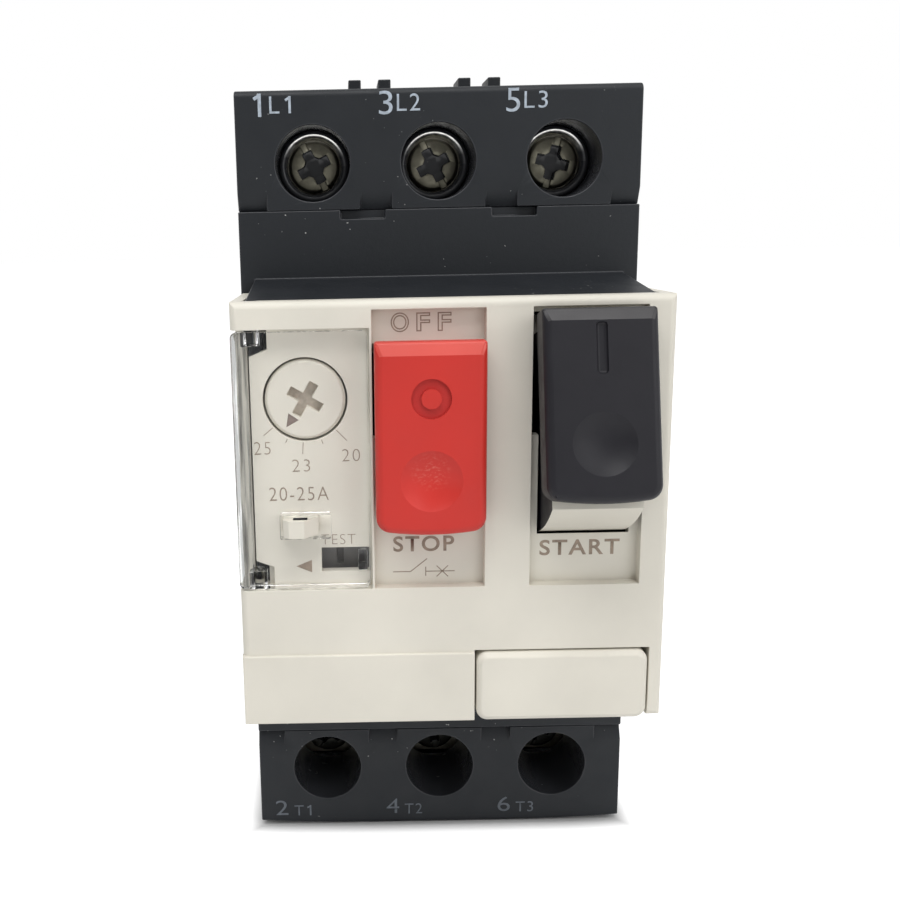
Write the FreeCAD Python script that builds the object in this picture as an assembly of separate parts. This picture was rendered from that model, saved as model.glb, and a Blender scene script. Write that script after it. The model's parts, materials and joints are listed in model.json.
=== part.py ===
import FreeCAD, Part
import math
import os

from FreeCAD import Vector

# Three-pole motor protection circuit breaker for a 35 mm rail, sizes in mm.
# The origin lies on the back plane at the middle of the rail seat. X runs to
# the right, Z up and the front faces -Y. Sizes called depth are measured
# forward from the back plane, so a depth d lies at y = -d.

# Envelope
BODY_HEIGHT = 89.0
BLOCK_DEPTH = 54.0
COVER_INSET = 0.2
COVER_HEIGHT = 45.0
COVER_DEPTH = 70.0
SPLIT_DEPTH = 26.0
BLOCK_HEIGHT = 13.0
BEVEL_DEPTH = 0.9
BEVEL_HEIGHT = 1.9
BLOCK_BOW = 0.8
SEAM_NOTCH = (6.0, 11.0)
WALL = 1.8
PARTITION = 1.6
SIDE_WALL = 1.5
VENTS = 3
VENT_LOW = 20.0
VENT_PITCH = 3.0
VENT_HEIGHT = 1.2
VENT_BACK = 12.0
VENT_LENGTH = 11.0
KNOCKOUT_DEPTH = 0.5
KNOCKOUT_WIDTH = 15.0
KNOCKOUT_HEIGHT = 20.0

# Fits: gap of fixed pieces, of sliding pieces and of pins in their holes
SEAT = 0.1
FIT = 0.2
PIN_GAP = 0.05

# Rail mounting
RAIL_HEIGHT = 35.0
RAIL_DEPTH = 7.5
RAIL_SHEET = 1.0
HOOK_REACH = 1.8
CLIP_WIDTH = 15.0
CLIP_BACK = 2.4
CLIP_SHEET = 3.0
CLIP_TRAVEL = 4.0
POST_INSET = 10.5
POST_HEIGHT = 2.0
CLIP_SPRING_ROOM = 8.0

# Terminals
TERMINAL_INSET = 7.9
HOLE_D = 8.3
TUNNEL_WALL = 1.1
LOAD_SINK = 3.0
HEAD_RECESS = 7.0
HEAD_D = 6.0
HEAD_HEIGHT = 2.4
DRIVE_LENGTH = 4.2
DRIVE_WIDTH = 1.1
DRIVE_DEPTH = 1.4
NUT_SIZE = 6.2
SCREW_D = 4.0
SCREW_SIDES = 20
SCREW_LENGTH = 9.5
WASHER_SIZE = 8.6
WASHER_SHEET = 1.2
WIRE_GAP = 4.4
WIRE_WINDOW = 8.6
TERMINAL_WIDTH = 9.0
TERMINAL_SHEET = 1.5
STRIP_WIDTH = 6.0
STRIP_SHEET = 1.2
TAB_HEIGHT = 4.5
SEPARATOR_DEPTH = 31.0
SEPARATOR_RISE = 3.5
SEPARATOR_REACH = 3.0
RIB_OFFSET = 1.9
RIB_SHEET = 1.6
BARRIER_SLOT = 1.6

# Contacts
TRAVEL = 4.0
CONTACT_Z = 6.5
CONTACT_SPREAD = 12.0
TIP_SIZE = 3.6
TIP_HEIGHT = 0.8
BRIDGE_SHEET = 1.2
BRIDGE_WIDTH = 5.0
SPRING_ROOM = 4.6
SPRING_POCKET = 4.4
CAGE = 1.2
BAR_HEIGHT = 6.0
BAR_DEPTH = 5.6
ARC_PLATES = 5
ARC_SHEET = 1.0
ARC_PITCH = 2.4
ARC_GAP = 5.5
ARC_CLEAR = 2.6

# Overload and short-circuit release
COIL_RISE = 4.5
COIL_BAR = 1.6
COIL_TURNS = 4
COIL_PITCH = 2.6
YOKE_SHEET = 0.8
YOKE_HEIGHT = 6.0
CORE_D = 5.0
CORE_SIDES = 12
PLUNGER_D = 3.0
PLUNGER_TRAVEL = 3.0
BIMETAL_SHEET = 0.9
BIMETAL_WIDTH = 4.5
BIMETAL_TOP = -2.8
HEATER_WIRE = 0.8
HEATER_TURNS = 5
HEATER_PITCH = 3.6
TRIP_BAR_Z = -4.5
TRIP_BAR_SIZE = 2.0

# Front cover
COVER_PLATE = 2.7
RIM_LAP = 0.4
COVER_SKIRT = 1.2
RECESS_DEPTH = 1.3
PANEL_WIDTH = 13.9
PANEL_RIB = 0.245
RECESS_WIDTH = 11.45
BUTTON_RIB = 4.68
EDGE_RIB = 2.875
RECESS_BOTTOM = -7.5
RECESS_TOP = 21.5
PANEL_TOP = 19.7
SWEEP_TOP = 9.0
STRIP_RISE = 0.3
STRIP_TOP = -14.8
EDGE_ROUND = 0.8
CREST_ROUND = 0.5

# Buttons: both rock on one pin. The pressed pose is drawn, then START is
# swung out by its travel, which is how it stands when the breaker is off.
PIVOT_BEHIND = 9.0
PIVOT_Z = 17.5
PIVOT_D = 2.5
SPRING_Z = 8.0
SECTOR_TAIL = 1.0
SECTOR_WIDTH = 9.0
SECTOR_GAP = 0.3
CAP_GAP = 0.175
CAP_ROUND = 1.5
CAP_BEVEL = 1.35
CAP_BOW = 0.5
STOP_PROUD = 3.0
STOP_SHEET = 2.2
STOP_TOP = 18.5
STOP_BOTTOM = -1.1
STOP_RADIUS = 19.6
START_PROUD = 4.5
START_SHEET = 3.6
START_TOP = 18.5
START_BOTTOM = -0.4
START_RADIUS = 20.9
START_TRAVEL = 14.0
DIMPLE_D = 6.0
DIMPLE_DEPTH = 0.7
DIMPLE_RISE = 5.7

# Setting dial, test slider, clear sealing cover, blank
DIAL_INSET = 7.3
DIAL_Z = 12.4
DIAL_D = 8.3
DIAL_SHAFT_D = 4.4
DIAL_SHAFT_REACH = 8.0
CROSS_LENGTH = 3.8
CROSS_WIDTH = 1.0
CROSS_TURN = 30.0
CAM_D = 6.0
CAM_OFFSET = 0.8
CAM_SHEET = 1.6
TEST_INSET = 3.5
TEST_Z = -4.7
TEST_WIDTH = 3.6
TEST_HEIGHT = 2.6
TEST_TRAVEL = 2.5
TEST_SHEET = 1.6
SLIDER_LAP = 1.4
SLIDER_STEM = 1.0
STOP_RIB = 1.0
FLAT_SPRING = 0.7
LEVER_SHEET = 1.2
LEVER_STAND = 4.2
LEVER_SHORT = 4.0
LEVER_ROOM = 3.5
LEVER_EAR = 1.8
LEVER_REACH = 3.4
LATCH_HUB = 4.4
LATCH_EAR = 2.0
LATCH_REACH = 5.6
LATCH_WIDTH = 3.6
PIN_D = 2.0
CLEAR_SHEET = 1.3
CLEAR_BOTTOM = -7.35
CLEAR_CORNER = 0.6
HOOK_SHEET = 0.9
HINGE_INSET = 1.9
HINGE_BEHIND = 2.5
HINGE_D = 1.6
NOTCH_REACH = 1.65
NOTCH_HEIGHT = 3.1
LUG_INSET = 6.55
LUG_Z = -0.7
LUG_WIDTH = 3.6
LUG_HEIGHT = 1.9
LUG_RISE = 2.6
BLANK_WIDTH = 18.1
BLANK_INSET = 1.7
BLANK_RISE = 0.6
BLANK_CORNER = 1.2
BLANK_SHEET = 1.0

# Derived positions. The front layout sets the width, which the poles share.
COVER_WIDTH = PANEL_WIDTH + PANEL_RIB + 2 * RECESS_WIDTH + BUTTON_RIB + EDGE_RIB
BODY_WIDTH = COVER_WIDTH + 2 * COVER_INSET
POLE_PITCH = (BODY_WIDTH - 2 * SIDE_WALL) / 3
HALF_W = BODY_WIDTH / 2
HALF_H = BODY_HEIGHT / 2
HALF_CW = COVER_WIDTH / 2
HALF_CH = COVER_HEIGHT / 2
SEAM_Z = HALF_H - BLOCK_HEIGHT
TERMINAL_Z = HALF_H - TERMINAL_INSET
COIL_Z = COIL_RISE - SEAM_Z
PANEL_RIGHT = PANEL_WIDTH - HALF_CW
STOP_X = PANEL_RIGHT + PANEL_RIB + RECESS_WIDTH / 2
START_X = STOP_X + RECESS_WIDTH + BUTTON_RIB
CAP_WIDTH = RECESS_WIDTH - 2 * CAP_GAP
DIAL_X = DIAL_INSET - HALF_CW
HINGE_X = HINGE_INSET - HALF_CW
LUG_X = LUG_INSET - HALF_CW
TEST_X = PANEL_RIGHT - TEST_INSET
BLANK_RIGHT = HALF_CW - BLANK_INSET
BLANK_LEFT = BLANK_RIGHT - BLANK_WIDTH
CELL = POLE_PITCH - PARTITION
POLES = (-POLE_PITCH, 0.0, POLE_PITCH)
CHAMBER = POLE_PITCH + CELL / 2
RAIL_SEAT = RAIL_DEPTH + FIT
RAIL_EDGE = RAIL_HEIGHT / 2 + FIT
RAIL_WALL = RAIL_SEAT + WALL
CLIP_FRONT = CLIP_BACK + CLIP_SHEET
POST_TOP = POST_INSET - HALF_H
POST_LOW = POST_TOP - POST_HEIGHT
MAGNET_BACK = CLIP_FRONT + FIT + WALL + SEAT

HEAD_FRONT = BLOCK_DEPTH - HEAD_RECESS
HEAD_BACK = HEAD_FRONT - HEAD_HEIGHT
WASHER_FRONT = HEAD_BACK - SEAT
WASHER_BACK = WASHER_FRONT - WASHER_SHEET
TERMINAL_FRONT = WASHER_BACK - WIRE_GAP
TERMINAL_BACK = TERMINAL_FRONT - TERMINAL_SHEET
TERMINAL_TOP = TERMINAL_Z + 5.6
RUN_BOTTOM = SEAM_Z + SEAT
RUN_TOP = RUN_BOTTOM + STRIP_SHEET

STRIP_BACK = RAIL_WALL + SEAT
STRIP_FRONT = STRIP_BACK + STRIP_SHEET
FIXED_FACE = STRIP_FRONT + TIP_HEIGHT
MOVING_FACE = FIXED_FACE + TRAVEL + SEAT
BRIDGE_BACK = MOVING_FACE + TIP_HEIGHT
BRIDGE_FRONT = BRIDGE_BACK + BRIDGE_SHEET
TIP_TOP_Z = CONTACT_Z + CONTACT_SPREAD / 2
TIP_LOW_Z = CONTACT_Z - CONTACT_SPREAD / 2
BAR_BACK = BRIDGE_FRONT + 1.4
BAR_FRONT = BAR_BACK + BAR_DEPTH
BAR_LOW = CONTACT_Z - BAR_HEIGHT / 2
BAR_TOP = CONTACT_Z + BAR_HEIGHT / 2
ARC_BACK = STRIP_FRONT + 1.8
ARC_HEIGHT = RUN_BOTTOM - ARC_CLEAR - TIP_TOP_Z - ARC_GAP

PLATE_BACK = COVER_DEPTH - COVER_PLATE
FLOOR_BACK = TERMINAL_FRONT + 4.0
FLOOR_FRONT = FLOOR_BACK + 1.5
NOSE_HALF = HALF_CW - COVER_SKIRT - FIT
NOSE_WALL = 1.5
NOSE_FRONT = PLATE_BACK + RIM_LAP
SHOULDER_Z = 24.0
RIM_Z = HALF_CH - 2.0

RECESS_FLOOR = COVER_DEPTH - RECESS_DEPTH
PANEL_FACE = COVER_DEPTH - CLEAR_SHEET - FIT
SHAFT_BACK = PANEL_FACE - DIAL_SHAFT_REACH
PIVOT_DEPTH = COVER_DEPTH - PIVOT_BEHIND
STEM_Z = 1.5
STEM_SIZE = 2.8
STEM_TIP = PIVOT_DEPTH + 3.6
HINGE_DEPTH = COVER_DEPTH - HINGE_BEHIND
SLIDER_FRONT = PANEL_FACE - 2.8
SLIDER_BACK = SLIDER_FRONT - TEST_SHEET
SLIDER_HALF = TEST_WIDTH / 2 + SLIDER_LAP
SLIDER_HIGH = TEST_HEIGHT / 2 + SLIDER_LAP + 0.1
TEST_STOP = TEST_X - SLIDER_HALF - TEST_TRAVEL - FLAT_SPRING - STOP_RIB
LEVER_X = TEST_X - SLIDER_HALF - LEVER_SHEET / 2 - 0.3
LEVER_Z = TRIP_BAR_Z
LEVER_PIVOT = FLOOR_FRONT + LEVER_STAND
LEVER_TIP = SLIDER_BACK - LEVER_SHORT
EAR_GAP = RECESS_WIDTH / 2 + 0.3
EAR_SHEET = 1.4
EAR_END = NOSE_HALF - 0.7
BIMETAL_BACK = SPLIT_DEPTH + 1.3 + STRIP_SHEET + SEAT
TRIP_BACK = BIMETAL_BACK + BIMETAL_WIDTH + 0.3
TRIP_FRONT = TRIP_BACK + 2.4
LEVER_TAIL = TRIP_FRONT + FIT
LATCH_DEPTH = PIVOT_DEPTH - 5.0
LATCH_Z = -12.0
LATCH_TOP = 2.5


def box(x0, x1, d0, d1, z0, z1):
    """Block between two widths, two depths and two heights."""
    return Part.makeBox(x1 - x0, d1 - d0, z1 - z0, Vector(x0, -d1, z0))


def rod_x(d, z, diameter, x0, x1):
    return Part.makeCylinder(diameter / 2, x1 - x0, Vector(x0, -d, z), Vector(1, 0, 0))


def rod_y(x, z, diameter, d0, d1):
    return Part.makeCylinder(diameter / 2, d1 - d0, Vector(x, -d0, z), Vector(0, -1, 0))


def rod_z(x, d, diameter, z0, z1):
    return Part.makeCylinder(diameter / 2, z1 - z0, Vector(x, -d, z0), Vector(0, 0, 1))


def prism_y(x, z, diameter, sides, d0, d1):
    """Prism along the depth, its corners on a circle of that diameter."""
    turns = [(i + 0.5) * 2 * math.pi / sides for i in range(sides)]
    corners = [(x + diameter / 2 * math.cos(a), z + diameter / 2 * math.sin(a)) for a in turns]
    return front_prism(corners, d0, d1)


def around(diameter, sides):
    """Corner diameter of a prism whose flats lie on a circle of that diameter."""
    return diameter / math.cos(math.pi / sides)


def face_of(points):
    return Part.Face(Part.makePolygon(points + points[:1]))


def side_prism(profile, x0, x1):
    """Profile of (depth, height) points drawn out along X."""
    points = [Vector(x0, -d, z) for d, z in profile]
    return face_of(points).extrude(Vector(x1 - x0, 0, 0))


def front_prism(profile, d0, d1):
    """Profile of (x, height) points drawn out along the depth."""
    points = [Vector(x, -d0, z) for x, z in profile]
    return face_of(points).extrude(Vector(0, d0 - d1, 0))


def plan_prism(profile, z0, z1):
    """Profile of (x, depth) points drawn out along Z."""
    points = [Vector(x, -d, z0) for x, d in profile]
    return face_of(points).extrude(Vector(0, 0, z1 - z0))


def joined(first, *others):
    return first.multiFuse(list(others)).removeSplitter()


def less(base, *tools):
    return base.cut(Part.makeCompound(list(tools)))


def group(shapes):
    return Part.makeCompound(list(shapes))


def rounded(shape, radius, pick):
    """Fillet of the edges whose two ends both satisfy pick(x, depth, z)."""
    edges = []
    for edge in shape.Edges:
        ends = [vertex.Point for vertex in edge.Vertexes]
        if all(pick(p.x, -p.y, p.z) for p in ends):
            edges.append(edge)
    return shape.makeFillet(radius, edges)


def near(a, b):
    return abs(a - b) < 1e-4


def depth_edges(shape):
    """Edges that run straight along the depth."""
    boxes = [(edge, edge.BoundBox) for edge in shape.Edges]
    return [edge for edge, b in boxes if near(b.XLength, 0) and near(b.ZLength, 0)]


def edges_at(shape, depth):
    """Edges that lie in the plane of one depth."""
    boxes = [(edge, edge.BoundBox) for edge in shape.Edges]
    return [edge for edge, b in boxes if near(-b.YMin, depth) and near(-b.YMax, depth)]


def mirrored(shape):
    """Load side twin of a line side shape."""
    return shape.mirror(Vector(0, 0, 0), Vector(0, 0, 1))


def sunk(shape):
    """Shape moved back by the deeper seat of the load clamps."""
    return shape.translated(Vector(0, LOAD_SINK, 0))


def swung(shape, degrees):
    """Turn about the button pin. Positive degrees bring the lower end out."""
    turned = shape.copy()
    turned.rotate(Vector(0, -PIVOT_DEPTH, PIVOT_Z), Vector(1, 0, 0), -degrees)
    return turned


def folded_strip(width, pitch, folds, reach, sheet):
    """Zigzag flat spring along +X from the origin, its bends across Y."""
    band = sheet * reach / pitch
    lower = []
    upper = []
    for i in range(folds + 1):
        side = reach / 2 - band if i % 2 else -reach / 2
        lower.append((i * pitch, side))
        upper.append((i * pitch, side + band))
    outline = [Vector(x, y, -width / 2) for x, y in lower + upper[::-1]]
    return face_of(outline).extrude(Vector(0, 0, width))


# Enclosure


def rear_base():
    body = box(-HALF_W, HALF_W, 0, SPLIT_DEPTH, -HALF_H, HALF_H)
    body = rounded(body, EDGE_ROUND, lambda x, d, z: near(d, 0))
    inner_z = HALF_H - WALL
    high = RAIL_EDGE + WALL
    cuts = []
    for x in POLES:
        x0, x1 = x - CELL / 2, x + CELL / 2
        cuts.append(box(x0, x1, RAIL_WALL, SPLIT_DEPTH + 1, -inner_z, inner_z))
        cuts.append(box(x0, x1, WALL, RAIL_WALL + 1, high, inner_z))
        cuts.append(box(x0, x1, MAGNET_BACK - SEAT, RAIL_WALL + 1, -inner_z, -high))
    wide = HALF_W + 1
    cuts.append(box(-wide, wide, -1, RAIL_SEAT, -RAIL_EDGE, RAIL_EDGE - HOOK_REACH))
    groove = RAIL_SEAT - RAIL_SHEET - 2 * FIT
    cuts.append(box(-wide, wide, groove, RAIL_SEAT, RAIL_EDGE - HOOK_REACH - 1, RAIL_EDGE))
    slot = CLIP_WIDTH / 2 + FIT
    low, edge = -HALF_H - 1, -RAIL_EDGE + 1
    cuts.append(box(-slot, slot, CLIP_BACK - FIT, CLIP_FRONT + FIT, low, edge))
    mouth = CLIP_WIDTH / 2 - 2
    cuts.append(box(-mouth, mouth, -1, CLIP_BACK, low, edge))
    bar_path = MOVING_FACE - TRAVEL - 1
    bar_z = BAR_LOW - FIT, BAR_TOP + FIT
    cuts.append(box(-POLE_PITCH, POLE_PITCH, bar_path, SPLIT_DEPTH + 1, *bar_z))
    for i in range(VENTS):
        z = VENT_LOW + i * VENT_PITCH
        for x0, x1 in ((-wide, 1 - CHAMBER), (CHAMBER - 1, wide)):
            cuts.append(box(x0, x1, VENT_BACK, VENT_BACK + VENT_LENGTH, z, z + VENT_HEIGHT))
    body = less(body, *cuts)
    post = box(-2, 2, CLIP_BACK, CLIP_FRONT + FIT + 0.5, POST_LOW, POST_TOP)
    return joined(body, post)


def terminal_block(sink):
    """Block of the line side, with its clamps sunk by that much."""
    body = box(-HALF_W, HALF_W, SPLIT_DEPTH, BLOCK_DEPTH, SEAM_Z, HALF_H)
    body = rounded(body, EDGE_ROUND, lambda x, d, z: near(d, BLOCK_DEPTH) and z > SEAM_Z + 1)
    edge = BLOCK_DEPTH - BEVEL_DEPTH
    high = SEAM_Z + BEVEL_HEIGHT
    bevel = [(edge, SEAM_Z - 1), (edge, SEAM_Z), (BLOCK_DEPTH, high),
             (BLOCK_DEPTH + 1, high), (BLOCK_DEPTH + 1, SEAM_Z - 1)]
    cuts = [side_prism(bevel, -HALF_W - 1, HALF_W + 1)]
    for x in POLES:
        x0, x1 = x - CELL / 2, x + CELL / 2
        cuts.append(box(x0, x1, SPLIT_DEPTH - 1, BLOCK_DEPTH - 2, SEAM_Z - 1, HALF_H - WALL))
        half = WIRE_WINDOW / 2
        window = TERMINAL_FRONT - sink, WASHER_FRONT + 1.5 - sink
        cuts.append(box(x - half, x + half, *window, HALF_H - WALL - 1, HALF_H + 1))
    body = less(body, *cuts)
    tunnels = []
    bores = []
    outer = HOLE_D + 2 * TUNNEL_WALL
    for x in POLES:
        wide = x - outer / 2, x + outer / 2
        tunnels.append(box(*wide, HEAD_BACK + 1.5 - sink, BLOCK_DEPTH, SEAM_Z, TERMINAL_Z + outer / 2))
        bores.append(rod_y(x, TERMINAL_Z, HOLE_D, HEAD_BACK - sink, BLOCK_DEPTH + 1))
    return less(joined(body, *tunnels), *bores)


def separators():
    """Twin ribs between the line conductors, with a slot for a phase barrier."""
    ribs = []
    middle = POLE_PITCH / 2
    top = HALF_H + SEPARATOR_RISE
    back = SEPARATOR_DEPTH - SEPARATOR_REACH
    front = SEPARATOR_DEPTH + SEPARATOR_REACH
    for x in (-3 * middle, -middle, middle, 3 * middle):
        for side in (-1, 1):
            centre = x + side * RIB_OFFSET
            x0 = max(centre - RIB_SHEET / 2, -HALF_W)
            x1 = min(centre + RIB_SHEET / 2, HALF_W)
            if x1 - x0 > RIB_SHEET / 3:
                ribs.append(box(x0, x1, back, front, HALF_H - 1, top))
        x0 = max(x - RIB_OFFSET - 0.3, -HALF_W)
        x1 = min(x + RIB_OFFSET + 0.3, HALF_W)
        ribs.append(box(x0, x1, back, front, HALF_H - 1, top - BARRIER_SLOT))
    return ribs


def line_terminal_block():
    return joined(terminal_block(0), *separators())


def load_terminal_block():
    """Mirror image of the line block without separators, its free end bowed."""
    radius = (HALF_W ** 2 + BLOCK_BOW ** 2) / (2 * BLOCK_BOW)
    bow = rod_y(0, HALF_H - radius, 2 * radius, SPLIT_DEPTH - 1, BLOCK_DEPTH + 1)
    return mirrored(terminal_block(LOAD_SINK).common(bow))


def mechanism_housing():
    lower = box(-HALF_W, HALF_W, SPLIT_DEPTH, BLOCK_DEPTH, -SEAM_Z, SEAM_Z)
    front_z = HALF_CH - 0.1
    outline = [(BLOCK_DEPTH - 3, SHOULDER_Z), (BLOCK_DEPTH, SHOULDER_Z), (NOSE_FRONT, front_z),
               (NOSE_FRONT, -front_z), (BLOCK_DEPTH, -SHOULDER_Z), (BLOCK_DEPTH - 3, -SHOULDER_Z)]
    body = joined(lower, side_prism(outline, -NOSE_HALF, NOSE_HALF))
    wall_z = SEAM_Z - PARTITION
    cuts = []
    for x in POLES:
        cuts.append(box(x - CELL / 2, x + CELL / 2, SPLIT_DEPTH - 1, FLOOR_BACK, -wall_z, wall_z))
        tab = STRIP_WIDTH / 2 + FIT
        cuts.append(box(x - tab, x + tab, SPLIT_DEPTH - 1, SPLIT_DEPTH + 3, -SEAM_Z - 1, -wall_z + 1))
    cuts.append(box(-CHAMBER, CHAMBER, FLOOR_FRONT, BLOCK_DEPTH - 1.6, -wall_z, wall_z))
    inner = [(BLOCK_DEPTH - 3, SHOULDER_Z - NOSE_WALL), (BLOCK_DEPTH, SHOULDER_Z - NOSE_WALL),
             (NOSE_FRONT + 1, front_z - NOSE_WALL), (NOSE_FRONT + 1, NOSE_WALL - front_z),
             (BLOCK_DEPTH, NOSE_WALL - SHOULDER_Z), (BLOCK_DEPTH - 3, NOSE_WALL - SHOULDER_Z)]
    cuts.append(side_prism(inner, NOSE_WALL - NOSE_HALF, NOSE_HALF - NOSE_WALL))
    # Room for the front cover: its plate, its dial boss and the hinge of the clear cover
    cuts.append(box(-HALF_W, HALF_W, PLATE_BACK - FIT, NOSE_FRONT + 1, -RIM_Z, RIM_Z))
    hinge_room = -HALF_W, 3 - NOSE_HALF
    cuts.append(box(*hinge_room, HINGE_DEPTH - 3, NOSE_FRONT + 1, CLEAR_BOTTOM - 3, PANEL_TOP + 2))
    # Window for the auxiliary contact below the blank
    window = BLANK_LEFT - 1, BLANK_RIGHT + FIT
    cuts.append(box(*window, PLATE_BACK - 4, NOSE_FRONT + 1, -HALF_CH - 2, 3 - HALF_CH))
    # Floor windows for the contact stem and the trip lever, path of the trip bar
    stem = STEM_SIZE / 2 + FIT
    floor = FLOOR_BACK - 1, FLOOR_FRONT + 1
    cuts.append(box(START_X - stem, START_X + stem, *floor, STEM_Z - stem, STEM_Z + stem))
    lever = TRIP_BAR_SIZE / 2 + FIT
    lever_z = LEVER_Z - lever, LEVER_Z + lever
    cuts.append(box(LEVER_X - LEVER_ROOM, LEVER_X + LEVER_ROOM, *floor, *lever_z))
    cuts.append(box(-POLE_PITCH, POLE_PITCH, TRIP_BACK - FIT, TRIP_FRONT + FIT, *lever_z))
    # Two notches in the upper seam, where the hooks of the line block snap in
    for side in (-1, 1):
        x0, x1 = sorted(side * x for x in SEAM_NOTCH)
        cuts.append(box(x0, x1, BLOCK_DEPTH - 1, BLOCK_DEPTH + 1, SEAM_Z - 1, SEAM_Z + 1))
    # Knock-out panels in both sides, for a side-mounted auxiliary contact
    middle = (SPLIT_DEPTH + BLOCK_DEPTH) / 2
    panel = middle - KNOCKOUT_WIDTH / 2, middle + KNOCKOUT_WIDTH / 2
    panel_x = HALF_W - KNOCKOUT_DEPTH
    for x0, x1 in ((-HALF_W - 1, -panel_x), (panel_x, HALF_W + 1)):
        cuts.append(box(x0, x1, *panel, -KNOCKOUT_HEIGHT / 2, KNOCKOUT_HEIGHT / 2))
    body = less(body, *cuts)
    adds = []
    bores = [rod_x(PIVOT_DEPTH, PIVOT_Z, PIVOT_D + 2 * PIN_GAP, -HALF_W, NOSE_HALF)]
    ears = (
        (STOP_X - EAR_GAP - EAR_SHEET, STOP_X - EAR_GAP),
        (STOP_X + EAR_GAP, START_X - EAR_GAP),
        (START_X + EAR_GAP, EAR_END),
    )
    for x0, x1 in ears:
        adds.append(box(x0, x1, FLOOR_FRONT - 0.5, PIVOT_DEPTH + 3, PIVOT_Z - 3, PIVOT_Z + 2.5))
    bores.append(rod_x(LATCH_DEPTH, LATCH_Z, PIN_D + 2 * PIN_GAP, -HALF_W, STOP_X + LATCH_REACH + 1))
    hub = LATCH_HUB / 2
    for x0 in (STOP_X - LATCH_REACH, STOP_X + LATCH_REACH - LATCH_EAR):
        ear = x0, x0 + LATCH_EAR
        adds.append(box(*ear, FLOOR_FRONT - 0.5, LATCH_DEPTH + hub, LATCH_Z - hub, LATCH_Z + hub))
    ear = LEVER_EAR
    for z0 in (LEVER_Z - LEVER_REACH, LEVER_Z + LEVER_REACH - ear):
        adds.append(box(LEVER_X - ear, LEVER_X + ear, FLOOR_FRONT - 0.5, LEVER_PIVOT + ear, z0, z0 + ear))
    bores.append(rod_z(LEVER_X, LEVER_PIVOT, PIN_D + 2 * PIN_GAP, LEVER_Z - 6, LEVER_Z + 6))
    return less(joined(body, *adds), *bores)


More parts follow.
